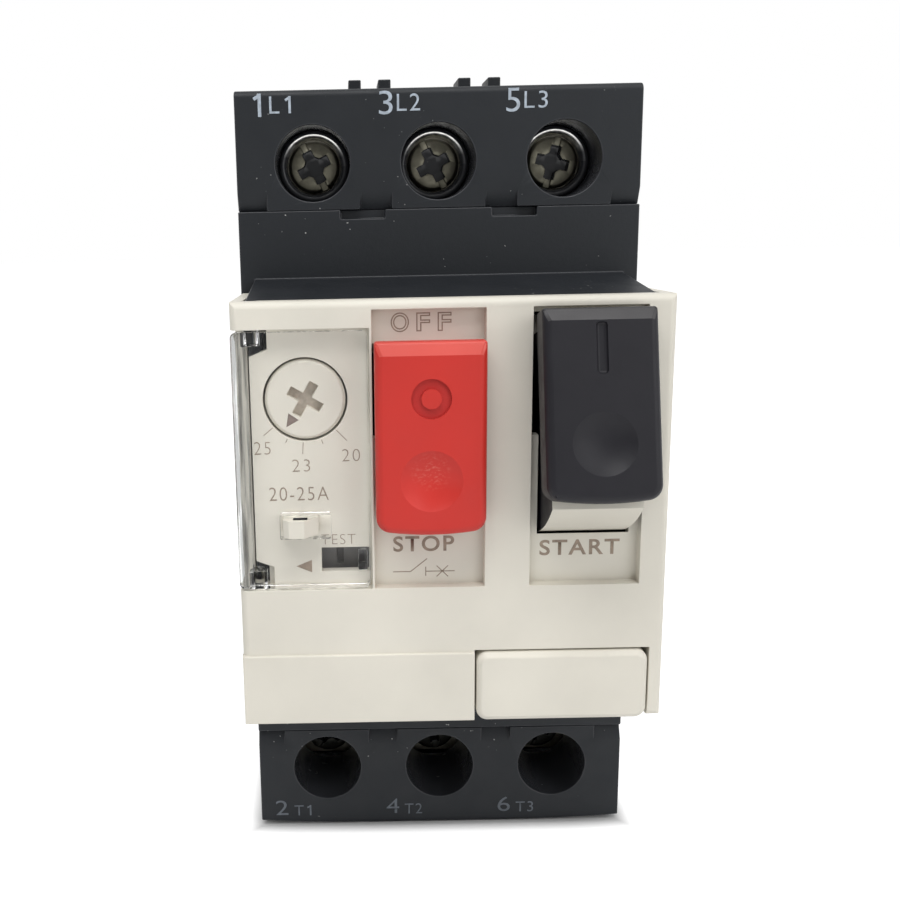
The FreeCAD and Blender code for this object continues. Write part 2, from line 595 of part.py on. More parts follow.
def front_cover():
    skirt_back = BLOCK_DEPTH + FIT
    body = box(-HALF_CW, HALF_CW, skirt_back, COVER_DEPTH, -HALF_CH, HALF_CH)
    body = rounded(body, EDGE_ROUND, lambda x, d, z: near(d, COVER_DEPTH))
    inner = HALF_CW - COVER_SKIRT
    rim = NOSE_FRONT + SEAT
    crest = COVER_DEPTH + STRIP_RISE
    strip = box(-HALF_CW, BLANK_LEFT - FIT, COVER_DEPTH - 1, crest, -HALF_CH, STRIP_TOP)
    strip = rounded(strip, STRIP_RISE / 2, lambda x, d, z: near(d, crest))
    body = joined(body, strip)
    cuts = [
        box(-inner, inner, 0, PLATE_BACK, -HALF_CH - 1, HALF_CH + 1),
        box(-inner, inner, 0, rim, RIM_Z - FIT, HALF_CH + 1),
        box(-inner, inner, 0, rim, -HALF_CH - 1, FIT - RIM_Z),
    ]
    openings = (STOP_X, STOP_RADIUS, PIVOT_Z + 0.5), (START_X, START_RADIUS, RECESS_TOP - 0.6)
    for centre, radius, top in openings:
        wide = centre - RECESS_WIDTH / 2, centre + RECESS_WIDTH / 2
        cuts.append(box(*wide, RECESS_FLOOR, COVER_DEPTH + 1, RECESS_BOTTOM, RECESS_TOP))
        cuts.append(box(*wide, PLATE_BACK - 1, RECESS_FLOOR + 1, SWEEP_TOP - 0.7, top))
        reach = SECTOR_WIDTH / 2 + SECTOR_GAP
        swept = 2 * (radius + SECTOR_GAP)
        sweep = rod_x(PIVOT_DEPTH, PIVOT_Z, swept, centre - reach, centre + reach)
        slab = box(-HALF_W, HALF_W, PLATE_BACK - 1, RECESS_FLOOR + 1, -HALF_CH, SWEEP_TOP)
        cuts.append(sweep.common(slab))
    panel_low = CLEAR_BOTTOM - FIT
    cuts.append(box(-HALF_W - 1, PANEL_RIGHT, PANEL_FACE, COVER_DEPTH + 1, panel_low, PANEL_TOP))
    cuts.append(box(-HALF_W - 1, HINGE_X - FIT, HINGE_DEPTH - 3.2, COVER_DEPTH, panel_low, PANEL_TOP))
    left = HINGE_X - 1
    right = HINGE_X + NOTCH_REACH
    high, low = PANEL_TOP - NOTCH_HEIGHT, panel_low + NOTCH_HEIGHT
    top_notch = [(left, high), (right, high + 1), (right, PANEL_TOP), (left, PANEL_TOP)]
    low_notch = [(left, low), (right, low - 1), (right, panel_low), (left, panel_low)]
    for notch in (top_notch, low_notch):
        cuts.append(front_prism(notch, PLATE_BACK - 1, PANEL_FACE + 1))
    half = TEST_WIDTH / 2
    high = TEST_HEIGHT / 2
    window = TEST_X - half, PANEL_RIGHT - 0.3
    cuts.append(box(*window, PLATE_BACK - 1, PANEL_FACE + 1, TEST_Z - high, TEST_Z + high))
    socket = BLANK_LEFT - FIT, BLANK_RIGHT + FIT
    cuts.append(box(*socket, PLATE_BACK - 1, COVER_DEPTH + 2, -HALF_CH - 1, STRIP_TOP + FIT))
    body = less(body, *cuts)
    adds = [rod_y(DIAL_X, DIAL_Z, DIAL_D + 2.4, PANEL_FACE - 3.8, PANEL_FACE - 0.5),
            rod_y(DIAL_X, DIAL_Z, DIAL_SHAFT_D + 2.4, PANEL_FACE - 7, PANEL_FACE - 3.5)]
    x0, x1 = LUG_X - LUG_WIDTH / 2, LUG_X + LUG_WIDTH / 2
    lug_z = LUG_Z - LUG_HEIGHT / 2, LUG_Z + LUG_HEIGHT / 2
    crest = PANEL_FACE + LUG_RISE
    outline = [(x0, PANEL_FACE - 1), (x0, crest - 0.6), (x0 + 0.6, crest), (x1 - 1.4, crest),
               (x1, crest - 1.6), (x1, PANEL_FACE - 1)]
    adds.append(plan_prism(outline, *lug_z))
    for z in (PANEL_TOP + FIT, CLEAR_BOTTOM - 2 * FIT - 1.5):
        adds.append(box(HINGE_X - 1.4, HINGE_X + 1.6, HINGE_DEPTH - 1.5, PLATE_BACK + 0.5, z, z + 1.5))
    guide = SLIDER_HIGH + FIT
    for z in (TEST_Z + guide, TEST_Z - guide - STOP_RIB):
        adds.append(box(TEST_STOP, TEST_X + 3, SLIDER_BACK, PLATE_BACK + 0.5, z, z + STOP_RIB))
    z0, z1 = TEST_Z - guide - STOP_RIB, TEST_Z + guide + STOP_RIB
    adds.append(box(TEST_STOP, TEST_STOP + STOP_RIB, SLIDER_BACK, PLATE_BACK + 0.5, z0, z1))
    body = joined(body, *adds)
    bores = [
        rod_y(DIAL_X, DIAL_Z, DIAL_D + 2 * FIT, PANEL_FACE - 3.4, PANEL_FACE + 1),
        rod_y(DIAL_X, DIAL_Z, DIAL_SHAFT_D + 2 * PIN_GAP, SHAFT_BACK, PANEL_FACE),
        rod_z(HINGE_X, HINGE_DEPTH, HINGE_D + 2 * PIN_GAP, CLEAR_BOTTOM - 3, PANEL_TOP + 3),
        box(LUG_X - 0.75, LUG_X + 0.75, PANEL_FACE + 1.2, PANEL_FACE + 2.1, lug_z[0] - 1, lug_z[1] + 1),
    ]
    return less(body, *bores)


def aux_blank():
    top = STRIP_TOP
    front = COVER_DEPTH + BLANK_RISE
    lid = box(BLANK_LEFT, BLANK_RIGHT, PLATE_BACK, front, -HALF_CH, top)
    lid = lid.makeFillet(BLANK_CORNER, depth_edges(lid))
    lid = lid.makeChamfer(CREST_ROUND, edges_at(lid, front))
    sheet = BLANK_SHEET
    pocket = box(BLANK_LEFT + sheet, BLANK_RIGHT - sheet, PLATE_BACK - 1, front - 1.2,
                 sheet - HALF_CH, top - sheet)
    lid = less(lid, pocket)
    legs = []
    for x in (BLANK_LEFT + 1.4, BLANK_RIGHT - 1.4 - sheet):
        legs.append(box(x, x + sheet, PLATE_BACK - 4, front - 1, top - 5.2, top - 2.2))
    return joined(lid, *legs)


def sealing_cover():
    left = -HALF_CW
    right = PANEL_RIGHT - FIT
    top = PANEL_TOP - FIT
    back = PANEL_FACE + FIT
    plate = box(left, right, back, COVER_DEPTH, CLEAR_BOTTOM, top)
    plate = plate.makeFillet(CLEAR_CORNER, depth_edges(plate))
    wall = box(left, left + HOOK_SHEET, HINGE_DEPTH + 1.5, back + 0.5,
               CLEAR_BOTTOM + CLEAR_CORNER, top - CLEAR_CORNER)
    adds = [wall]
    knuckles = (
        (top - 1.5, top - 0.1, top - 0.2, PANEL_TOP + 1.5),
        (CLEAR_BOTTOM + 0.1, CLEAR_BOTTOM + 1.5, CLEAR_BOTTOM - 1.7, CLEAR_BOTTOM + 0.2),
    )
    for z0, z1, pin0, pin1 in knuckles:
        adds.append(box(HINGE_X - 0.9, HINGE_X + 0.9, HINGE_DEPTH, back + 0.5, z0, z1))
        adds.append(rod_z(HINGE_X, HINGE_DEPTH, HINGE_D, z0, z1))
        adds.append(rod_z(HINGE_X, HINGE_DEPTH, HINGE_D, pin0, pin1))
    hook_right = PANEL_RIGHT - 0.3 - FIT
    hook_x = hook_right - HOOK_SHEET, hook_right
    hook = TEST_HEIGHT / 2 - FIT
    adds.append(box(*hook_x, SLIDER_FRONT + FIT, back + 0.5, TEST_Z - hook, TEST_Z + hook))
    slot = box(LUG_X - LUG_WIDTH / 2 - 0.3, LUG_X + LUG_WIDTH / 2 + 1.3, back - 1, COVER_DEPTH + 1,
               LUG_Z - LUG_HEIGHT / 2 - 0.3, LUG_Z + LUG_HEIGHT / 2 + 0.3)
    return less(joined(plate, *adds), slot)


def rail_clip():
    half = CLIP_WIDTH / 2
    nose = -RAIL_EDGE + HOOK_REACH
    tail = -HALF_H + 1
    outline = [(CLIP_BACK, nose - 1.6), (CLIP_BACK + 1.4, nose), (CLIP_FRONT, nose),
               (CLIP_FRONT, tail), (CLIP_BACK, tail)]
    plate = side_prism(outline, -half, half)
    low = POST_LOW - CLIP_TRAVEL - 1
    window = box(-4, 4, 0, CLIP_FRONT + 1, low, POST_TOP + CLIP_SPRING_ROOM)
    pry = box(-2.5, 2.5, 0, CLIP_FRONT + 1, tail + 0.8, tail + 1.8)
    return less(plate, window, pry)


def rail_clip_spring():
    """Folded spring between the clip and the post of the base."""
    folds = 6
    room = CLIP_SPRING_ROOM - 2 * SEAT
    spring = folded_strip(2.0, room / folds, folds, 6.0, 0.4)
    spring.rotate(Vector(0, 0, 0), Vector(0, 1, 0), -90)
    spring.rotate(Vector(0, 0, 0), Vector(0, 0, 1), 90)
    spring.translate(Vector(0, -(CLIP_BACK + CLIP_FRONT) / 2, POST_TOP + SEAT))
    return spring


# Operating buttons


def button_sector(centre, cap_back, radius):
    """Carrier of a button in the pressed pose: a sector about the button pin."""
    half = SECTOR_WIDTH / 2
    disc = rod_x(PIVOT_DEPTH, PIVOT_Z, 2 * radius, centre - half, centre + half)
    angle = math.radians(SECTOR_TAIL)
    far = radius + 5
    tail = (PIVOT_DEPTH + far * math.sin(angle), PIVOT_Z - far * math.cos(angle))
    keep = [(PIVOT_DEPTH, PIVOT_Z), tail, (cap_back, tail[1]), (cap_back, PIVOT_Z)]
    sector = disc.common(side_prism(keep, centre - half, centre + half))
    hub = rod_x(PIVOT_DEPTH, PIVOT_Z, PIVOT_D + 2.4, centre - half, centre + half)
    body = joined(sector, hub)
    room = half - WALL + 0.2
    pocket = box(centre - room, centre + room, PIVOT_DEPTH + 5.5, cap_back - 1.5, 4, PIVOT_Z - 2)
    bore = rod_x(PIVOT_DEPTH, PIVOT_Z, PIVOT_D + 2 * PIN_GAP, centre - half - 1, centre + half + 1)
    return less(body, pocket, bore)


def button_cap(centre, proud, sheet, top, bottom):
    """Cap with a bevelled top, a bowed lower edge and a thumb dimple, pressed pose."""
    half = CAP_WIDTH / 2
    face = COVER_DEPTH + proud
    back = face - sheet
    profile = [(back, bottom), (face, bottom), (face, top - CAP_BEVEL), (face - 0.6, top), (back, top)]
    cap = side_prism(profile, centre - half, centre + half)
    bow = (half ** 2 + CAP_BOW ** 2) / (2 * CAP_BOW)
    cap = cap.common(rod_y(centre, bottom + bow, 2 * bow, back - 1, face + 1))
    corner = bottom + CAP_BOW
    cap = cap.makeFillet(CAP_ROUND, [edge for edge in depth_edges(cap) if near(edge.BoundBox.ZMin, corner)])
    rim = [edge for edge in edges_at(cap, face) if edge.BoundBox.ZMin < top - CAP_BEVEL - 0.1]
    cap = cap.makeChamfer(CREST_ROUND, rim)
    radius = (DIMPLE_D ** 2 / 4 + DIMPLE_DEPTH ** 2) / (2 * DIMPLE_DEPTH)
    dimple = Part.makeSphere(radius, Vector(centre, -(face + radius - DIMPLE_DEPTH), bottom + DIMPLE_RISE))
    return less(cap, dimple)


def stop_cap():
    return button_cap(STOP_X, STOP_PROUD, STOP_SHEET, STOP_TOP, STOP_BOTTOM)


def stop_carrier():
    return button_sector(STOP_X, COVER_DEPTH + STOP_PROUD - STOP_SHEET - SEAT / 2, STOP_RADIUS)


def start_cap():
    return swung(button_cap(START_X, START_PROUD, START_SHEET, START_TOP, START_BOTTOM), START_TRAVEL)


def start_carrier():
    back = COVER_DEPTH + START_PROUD - START_SHEET - SEAT / 2
    return swung(button_sector(START_X, back, START_RADIUS), START_TRAVEL)


def button_pin():
    return rod_x(PIVOT_DEPTH, PIVOT_Z, PIVOT_D, STOP_X - EAR_GAP - EAR_SHEET, EAR_END)


def button_spring(centre, tip):
    """Folded return spring between the housing floor and a button carrier."""
    folds = 8
    back = FLOOR_FRONT + SEAT
    spring = folded_strip(3.0, (tip - back) / folds, folds, 3.6, 0.5)
    spring.rotate(Vector(0, 0, 0), Vector(1, 0, 0), 90)
    spring.rotate(Vector(0, 0, 0), Vector(0, 0, 1), -90)
    spring.translate(Vector(centre, -back, SPRING_Z))
    return spring


def stop_spring():
    return button_spring(STOP_X, PIVOT_DEPTH - 0.1)


def start_spring():
    return button_spring(START_X, PIVOT_DEPTH + 1.6)


def latch_lever():
    """Release latch behind STOP, on its own pin."""
    x0, x1 = STOP_X - LATCH_WIDTH / 2, STOP_X + LATCH_WIDTH / 2
    hub = rod_x(LATCH_DEPTH, LATCH_Z, LATCH_HUB, x0, x1)
    arm = box(x0, x1, LATCH_DEPTH - 1, LATCH_DEPTH + 1.6, LATCH_Z, LATCH_TOP)
    nose = box(x0, x1, LATCH_DEPTH, PIVOT_DEPTH - 0.5, LATCH_TOP - 2, LATCH_TOP)
    bore = rod_x(LATCH_DEPTH, LATCH_Z, PIN_D + 2 * PIN_GAP, x0 - 1, x1 + 1)
    return less(joined(hub, arm, nose), bore)


def latch_pin():
    return rod_x(LATCH_DEPTH, LATCH_Z, PIN_D, STOP_X - LATCH_REACH, STOP_X + LATCH_REACH)


# Setting dial and test trip


def setting_dial():
    face = PANEL_FACE - 0.1
    disc = rod_y(DIAL_X, DIAL_Z, DIAL_D, face - 3.1, face)
    disc = disc.makeChamfer(0.3, edges_at(disc, face))
    shaft = rod_y(DIAL_X, DIAL_Z, DIAL_SHAFT_D, SHAFT_BACK, face - 2)
    reach = CROSS_LENGTH / 2
    half = CROSS_WIDTH / 2
    slot = face - 0.8, face + 1
    cross = [box(DIAL_X - reach, DIAL_X + reach, *slot, DIAL_Z - half, DIAL_Z + half),
             box(DIAL_X - half, DIAL_X + half, *slot, DIAL_Z - reach, DIAL_Z + reach)]
    for bar in cross:
        bar.rotate(Vector(DIAL_X, 0, DIAL_Z), Vector(0, 1, 0), CROSS_TURN)
    return less(joined(disc, shaft), *cross)


def setting_cam():
    """Eccentric disc on the dial shaft that shifts the trip threshold."""
    front = SHAFT_BACK - SEAT / 2
    return rod_y(DIAL_X + CAM_OFFSET, DIAL_Z, CAM_D, front - CAM_SHEET, front)


def test_slider():
    left = TEST_X - SLIDER_HALF
    high = SLIDER_HIGH
    plate = box(left, TEST_X + SLIDER_HALF, SLIDER_BACK, SLIDER_FRONT, TEST_Z - high, TEST_Z + high)
    grip = TEST_HEIGHT / 2
    slot = box(TEST_X - 0.2, TEST_X + 0.5, SLIDER_FRONT - 0.8, SLIDER_FRONT + 1, TEST_Z - grip, TEST_Z + grip)
    stem = box(left, left + SLIDER_STEM, LEVER_TIP - 1.5, SLIDER_BACK + 0.5, LEVER_Z - 0.8, LEVER_Z + 0.8)
    return less(joined(plate, stem), slot)


def test_spring():
    left = TEST_STOP + STOP_RIB + SEAT
    right = TEST_X - SLIDER_HALF - SEAT
    folds = 4
    spring = folded_strip(3.0, (right - left) / folds, folds, 1.3, 0.3)
    spring.translate(Vector(left, -(SLIDER_BACK + SLIDER_FRONT) / 2, TEST_Z))
    return spring


def trip_lever():
    half = TRIP_BAR_SIZE / 2
    side = LEVER_SHEET / 2
    arm = box(LEVER_X - side, LEVER_X + side, LEVER_TAIL, LEVER_TIP, LEVER_Z - half, LEVER_Z + half)
    hub = rod_z(LEVER_X, LEVER_PIVOT, 2 * PIN_D, LEVER_Z - half, LEVER_Z + half)
    bore = rod_z(LEVER_X, LEVER_PIVOT, PIN_D + 2 * PIN_GAP, LEVER_Z - half - 1, LEVER_Z + half + 1)
    return less(joined(arm, hub), bore)


def trip_lever_pin():
    return rod_z(LEVER_X, LEVER_PIVOT, PIN_D, LEVER_Z - LEVER_REACH, LEVER_Z + LEVER_REACH)


def trip_bar():
    half = TRIP_BAR_SIZE / 2
    z0, z1 = TRIP_BAR_Z - half, TRIP_BAR_Z + half
    left = LEVER_X + LEVER_SHEET / 2 + 2 * FIT
    bar = box(left, POLES[-1] + 1.7, TRIP_BACK, TRIP_FRONT, z0, z1)
    parts = [box(left, left + 1.2, TRIP_BACK, LEVER_TAIL + 2, z0, z1)]
    for x in POLES:
        strip = x - 1 + BIMETAL_SHEET / 2
        parts.append(box(strip + 0.3, strip + 1.3, TRIP_BACK - 4, TRIP_BACK + 0.5, z0, z1))
    return joined(bar, *parts)


# Current path


def line_strip(x):
    """Line terminal, clamp plate and fixed contact strip in one bent piece."""
    profile = [(STRIP_BACK, TIP_TOP_Z - 3), (STRIP_FRONT, TIP_TOP_Z - 3), (STRIP_FRONT, RUN_BOTTOM),
               (TERMINAL_FRONT, RUN_BOTTOM), (TERMINAL_FRONT, TERMINAL_TOP), (TERMINAL_BACK, TERMINAL_TOP),
               (TERMINAL_BACK, RUN_TOP), (STRIP_BACK, RUN_TOP)]
    strip = side_prism(profile, x - STRIP_WIDTH / 2, x + STRIP_WIDTH / 2)
    return with_clamp_plate(strip, x, TERMINAL_FRONT)


def with_clamp_plate(strip, x, front):
    half = TERMINAL_WIDTH / 2
    back = front - TERMINAL_SHEET
    plate = box(x - half, x + half, back, front, RUN_BOTTOM, TERMINAL_TOP)
    side = NUT_SIZE / 2
    boss = box(x - side, x + side, back - 2.2, back + 0.5, TERMINAL_Z - side, TERMINAL_Z + side)
    bore_d = around(SCREW_D + 2 * PIN_GAP, SCREW_SIDES)
    bore = prism_y(x, TERMINAL_Z, bore_d, SCREW_SIDES, back - 4, front + 1)
    return less(joined(strip, plate, boss), bore)


def load_strip(x):
    """Load terminal with the upright tab that carries the bimetal."""
    tab = BIMETAL_BACK - SEAT - STRIP_SHEET
    high = SEAM_Z - TAB_HEIGHT
    front = TERMINAL_FRONT - LOAD_SINK
    back = front - TERMINAL_SHEET
    profile = [(tab, high), (tab + STRIP_SHEET, high), (tab + STRIP_SHEET, RUN_BOTTOM), (front, RUN_BOTTOM),
               (front, TERMINAL_TOP), (back, TERMINAL_TOP), (back, RUN_TOP), (tab, RUN_TOP)]
    strip = side_prism(profile, x - STRIP_WIDTH / 2, x + STRIP_WIDTH / 2)
    return mirrored(with_clamp_plate(strip, x, front))


def inner_strip(x):
    """Second fixed contact strip, from the lower contact to the magnet coil."""
    coil_top = COIL_Z + coil_half() + COIL_BAR / 2
    half = STRIP_WIDTH / 2
    return box(x - half, x + half, STRIP_BACK, STRIP_FRONT, coil_top + SEAT, TIP_LOW_Z + 3)


def contact_tip(x, z, d0, d1):
    half = TIP_SIZE / 2
    return box(x - half, x + half, d0, d1, z - half, z + half)


def fixed_tips():
    tips = []
    for x in POLES:
        for z in (TIP_TOP_Z, TIP_LOW_Z):
            tips.append(contact_tip(x, z, STRIP_FRONT, FIXED_FACE))
    return group(tips)


def terminal_screw(x):
    z = TERMINAL_Z
    head = rod_y(x, z, HEAD_D, HEAD_BACK, HEAD_FRONT)
    shank = prism_y(x, z, SCREW_D, SCREW_SIDES, HEAD_BACK - SCREW_LENGTH, HEAD_BACK + 0.5)
    reach = DRIVE_LENGTH / 2
    half = DRIVE_WIDTH / 2
    depth = HEAD_FRONT - DRIVE_DEPTH, HEAD_FRONT + 1
    slots = [box(x - reach, x + reach, *depth, z - half, z + half),
             box(x - half, x + half, *depth, z - reach, z + reach)]
    return less(joined(head, shank), *slots)


def clamp_washer(x):
    z = TERMINAL_Z
    half = WASHER_SIZE / 2
    plate = box(x - half, x + half, WASHER_BACK, WASHER_FRONT, z - half, z + half)
    hole = around(SCREW_D + 2 * FIT, SCREW_SIDES)
    return less(plate, prism_y(x, z, hole, SCREW_SIDES, WASHER_BACK - 1, WASHER_FRONT + 1))


def contact_bridge(x):
    half = BRIDGE_WIDTH / 2
    plate = box(x - half, x + half, BRIDGE_BACK, BRIDGE_FRONT, TIP_LOW_Z - 2.2, TIP_TOP_Z + 2.2)
    tips = [contact_tip(x, z, MOVING_FACE, BRIDGE_BACK + 0.3) for z in (TIP_LOW_Z, TIP_TOP_Z)]
    return joined(plate, *tips)


def contact_carrier():
    """Insulating bar across the poles with a cage for each bridge and the push stem."""
    end = POLE_PITCH + 4.6
    cage_z = CONTACT_Z - CAGE, CONTACT_Z + CAGE
    bar = box(-end, end, BAR_BACK, BAR_FRONT, BAR_LOW, BAR_TOP)
    parts = []
    pockets = []
    for x in POLES:
        inner = BRIDGE_WIDTH / 2 + FIT
        for side in (-1, 1):
            x0, x1 = sorted((x + side * inner, x + side * (inner + 1)))
            parts.append(box(x0, x1, BRIDGE_BACK - CAGE, BAR_BACK + 0.5, *cage_z))
        parts.append(box(x - inner, x + inner, BRIDGE_BACK - CAGE, BRIDGE_BACK - SEAT, *cage_z))
        room = SPRING_POCKET / 2
        front = BRIDGE_FRONT + SPRING_ROOM
        pockets.append(box(x - room, x + room, BAR_BACK - 1, front, CONTACT_Z - room, CONTACT_Z + room))
    half = STEM_SIZE / 2
    stem = START_X - half, START_X + half
    parts.append(box(*stem, BAR_FRONT - 3, STEM_TIP, STEM_Z - half, STEM_Z + half))
    parts.append(box(*stem, BAR_FRONT - 3, BAR_FRONT, STEM_Z - half, BAR_LOW + 1))
    return less(joined(bar, *parts), *pockets)


def contact_spring(x):
    """Contact pressure spring of square wire between a bridge and the carrier."""
    wire = 0.6
    turns = 3
    half = 1.6
    pitch = (SPRING_ROOM - 2 * SEAT - wire) / (turns - 1)
    spring = stepped_winding(0, pitch, half, half, wire, turns)
    spring.rotate(Vector(0, 0, 0), Vector(1, 0, 0), 90)
    spring.translate(Vector(x, -(BRIDGE_FRONT + SEAT + wire / 2), CONTACT_Z))
    return spring


def arc_plates(low, notch_side):
    """Splitter plates of the three poles, stacked along the depth."""
    plates = []
    half = CELL / 2 - SEAT
    high = low + ARC_HEIGHT
    for x in POLES:
        for i in range(ARC_PLATES):
            d = ARC_BACK + i * ARC_PITCH
            if notch_side < 0:
                profile = [(x - half, low), (x - 2, low), (x, low + 5), (x + 2, low), (x + half, low),
                           (x + half, high), (x - half, high)]
            else:
                profile = [(x - half, low), (x + half, low), (x + half, high), (x + 2, high), (x, high - 5),
                           (x - 2, high), (x - half, high)]
            plates.append(front_prism(profile, d, d + ARC_SHEET))
    return group(plates)


def line_arc_plates():
    return arc_plates(TIP_TOP_Z + ARC_GAP, -1)


def load_arc_plates():
    return arc_plates(TIP_LOW_Z - ARC_GAP - ARC_HEIGHT, 1)


def coil_half():
    """Half size of the coil centre line, which fits inside the magnet yoke."""
    return CELL / 2 - 1.2 - COIL_BAR / 2


def stepped_winding(low, pitch, half_a, half_b, bar, turns):
    """Square-wire winding along +Z made of straight runs, one step per turn."""
    runs = []
    r = bar / 2
    for i in range(turns):
        z = low + i * pitch
        z0, z1 = z - r, z + r
        runs.append(box_xyz(half_a - r, half_a + r, -half_b - r, half_b + r, z0, z1))
        runs.append(box_xyz(-half_a - r, half_a + r, -half_b - r, -half_b + r, z0, z1))
        runs.append(box_xyz(-half_a - r, -half_a + r, -half_b - r, half_b + r, z0, z1))
        step = half_a - 2 * bar
        runs.append(box_xyz(-half_a - r, step + r, half_b - r, half_b + r, z0, z1))
        if i + 1 < turns:
            runs.append(box_xyz(step - r, step + r, half_b - r, half_b + r, z0, z1 + pitch))
            runs.append(box_xyz(step - r, half_a + r, half_b - r, half_b + r, z0 + pitch, z1 + pitch))
    return joined(*runs)


def box_xyz(x0, x1, y0, y1, z0, z1):
    return Part.makeBox(x1 - x0, y1 - y0, z1 - z0, Vector(x0, y0, z0))


def magnet_coil(x):
    half = coil_half()
    coil = stepped_winding(0, COIL_PITCH, half, half, COIL_BAR, COIL_TURNS)
    coil.rotate(Vector(0, 0, 0), Vector(1, 0, 0), 90)
    coil.translate(Vector(x, -(STRIP_BACK + 1.0), COIL_Z))
    return coil


def magnet_yoke(x):
    """U-shaped yoke with the fixed core pressed into its back."""
    half = CELL / 2 - SEAT
    back = MAGNET_BACK
    front = STRIP_BACK + COIL_TURNS * COIL_PITCH + 2
    yoke_z = COIL_Z - YOKE_HEIGHT / 2, COIL_Z + YOKE_HEIGHT / 2
    sides = [box(x - half, x - half + YOKE_SHEET, back, front, *yoke_z),
             box(x + half - YOKE_SHEET, x + half, back, front, *yoke_z)]
    web = box(x - half, x + half, back, back + 1.4, *yoke_z)
    core = prism_y(x, COIL_Z, CORE_D, CORE_SIDES, back + 1, back + 7)
    bore = prism_y(x, COIL_Z, PLUNGER_D + 2 * PIN_GAP, CORE_SIDES, back + 2, back + 8)
    return less(joined(web, core, *sides), bore)


def plunger(x):
    return prism_y(x, COIL_Z, PLUNGER_D, CORE_SIDES, MAGNET_BACK + 3, SPLIT_DEPTH - PLUNGER_TRAVEL - 0.6)


def bimetal(x):
    centre = x - 1
    half = BIMETAL_SHEET / 2
    foot = -SEAM_Z + PARTITION + SEAT
    front = BIMETAL_BACK + BIMETAL_WIDTH
    return box(centre - half, centre + half, BIMETAL_BACK, front, foot, BIMETAL_TOP)


def heater(x):
    middle = BIMETAL_BACK + BIMETAL_WIDTH / 2
    half_a = BIMETAL_SHEET / 2 + 0.7 + HEATER_WIRE / 2
    half_b = BIMETAL_WIDTH / 2 + 0.5 + HEATER_WIRE / 2
    low = -SEAM_Z + 6.0
    winding = stepped_winding(low, HEATER_PITCH, half_b, half_a, HEATER_WIRE, HEATER_TURNS)
    winding.rotate(Vector(0, 0, 0), Vector(0, 0, 1), 90)
    winding.translate(Vector(x - 1, -middle, 0))
    return winding


def all_nodes():
    nodes = {
        "rear_base": rear_base(),
        "line_terminal_block": line_terminal_block(),
        "load_terminal_block": load_terminal_block(),
        "mechanism_housing": mechanism_housing(),
        "front_cover": front_cover(),
        "aux_blank": aux_blank(),
        "sealing_cover": sealing_cover(),
        "rail_clip": rail_clip(),
        "rail_clip_spring": rail_clip_spring(),
        "start_cap": start_cap(),
        "start_carrier": start_carrier(),
        "start_spring": start_spring(),
        "stop_cap": stop_cap(),
        "stop_carrier": stop_carrier(),
        "stop_spring": stop_spring(),
        "button_pin": button_pin(),
        "latch_lever": latch_lever(),
        "latch_pin": latch_pin(),
        "setting_dial": setting_dial(),
        "setting_cam": setting_cam(),
        "test_slider": test_slider(),
        "test_spring": test_spring(),
        "trip_lever": trip_lever(),
        "trip_lever_pin": trip_lever_pin(),
        "trip_bar": trip_bar(),
        "fixed_tips": fixed_tips(),
        "inner_strips": group(inner_strip(x) for x in POLES),
        "contact_carrier": contact_carrier(),
        "contact_springs": group(contact_spring(x) for x in POLES),
        "line_arc_plates": line_arc_plates(),
        "load_arc_plates": load_arc_plates(),
        "magnet_coils": group(magnet_coil(x) for x in POLES),
        "magnet_yokes": group(magnet_yoke(x) for x in POLES),
        "bimetals": group(bimetal(x) for x in POLES),
        "heater_windings": group(heater(x) for x in POLES),
    }
    for i, x in enumerate(POLES, start=1):
        nodes["contact_bridge_%d" % i] = contact_bridge(x)
        nodes["plunger_%d" % i] = plunger(x)
        nodes["line_terminal_%d" % i] = line_strip(x)
        nodes["load_terminal_%d" % i] = load_strip(x)
        nodes["line_screw_%d" % i] = terminal_screw(x)
        nodes["load_screw_%d" % i] = sunk(mirrored(terminal_screw(x)))
        nodes["line_washer_%d" % i] = clamp_washer(x)
        nodes["load_washer_%d" % i] = sunk(mirrored(clamp_washer(x)))
    return nodes


def main():
    os.makedirs("parts", exist_ok=True)
    for name, shape in all_nodes().items():
        shape.exportStep("parts/%s.step" % name)


if __name__ == "__main__":
    main()
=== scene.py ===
import json
import math

import bpy
from bpy.props import FloatProperty, FloatVectorProperty, PointerProperty
from bpy.types import NodeSocket, Operator, Panel, PropertyGroup
from mathutils import Matrix, Vector


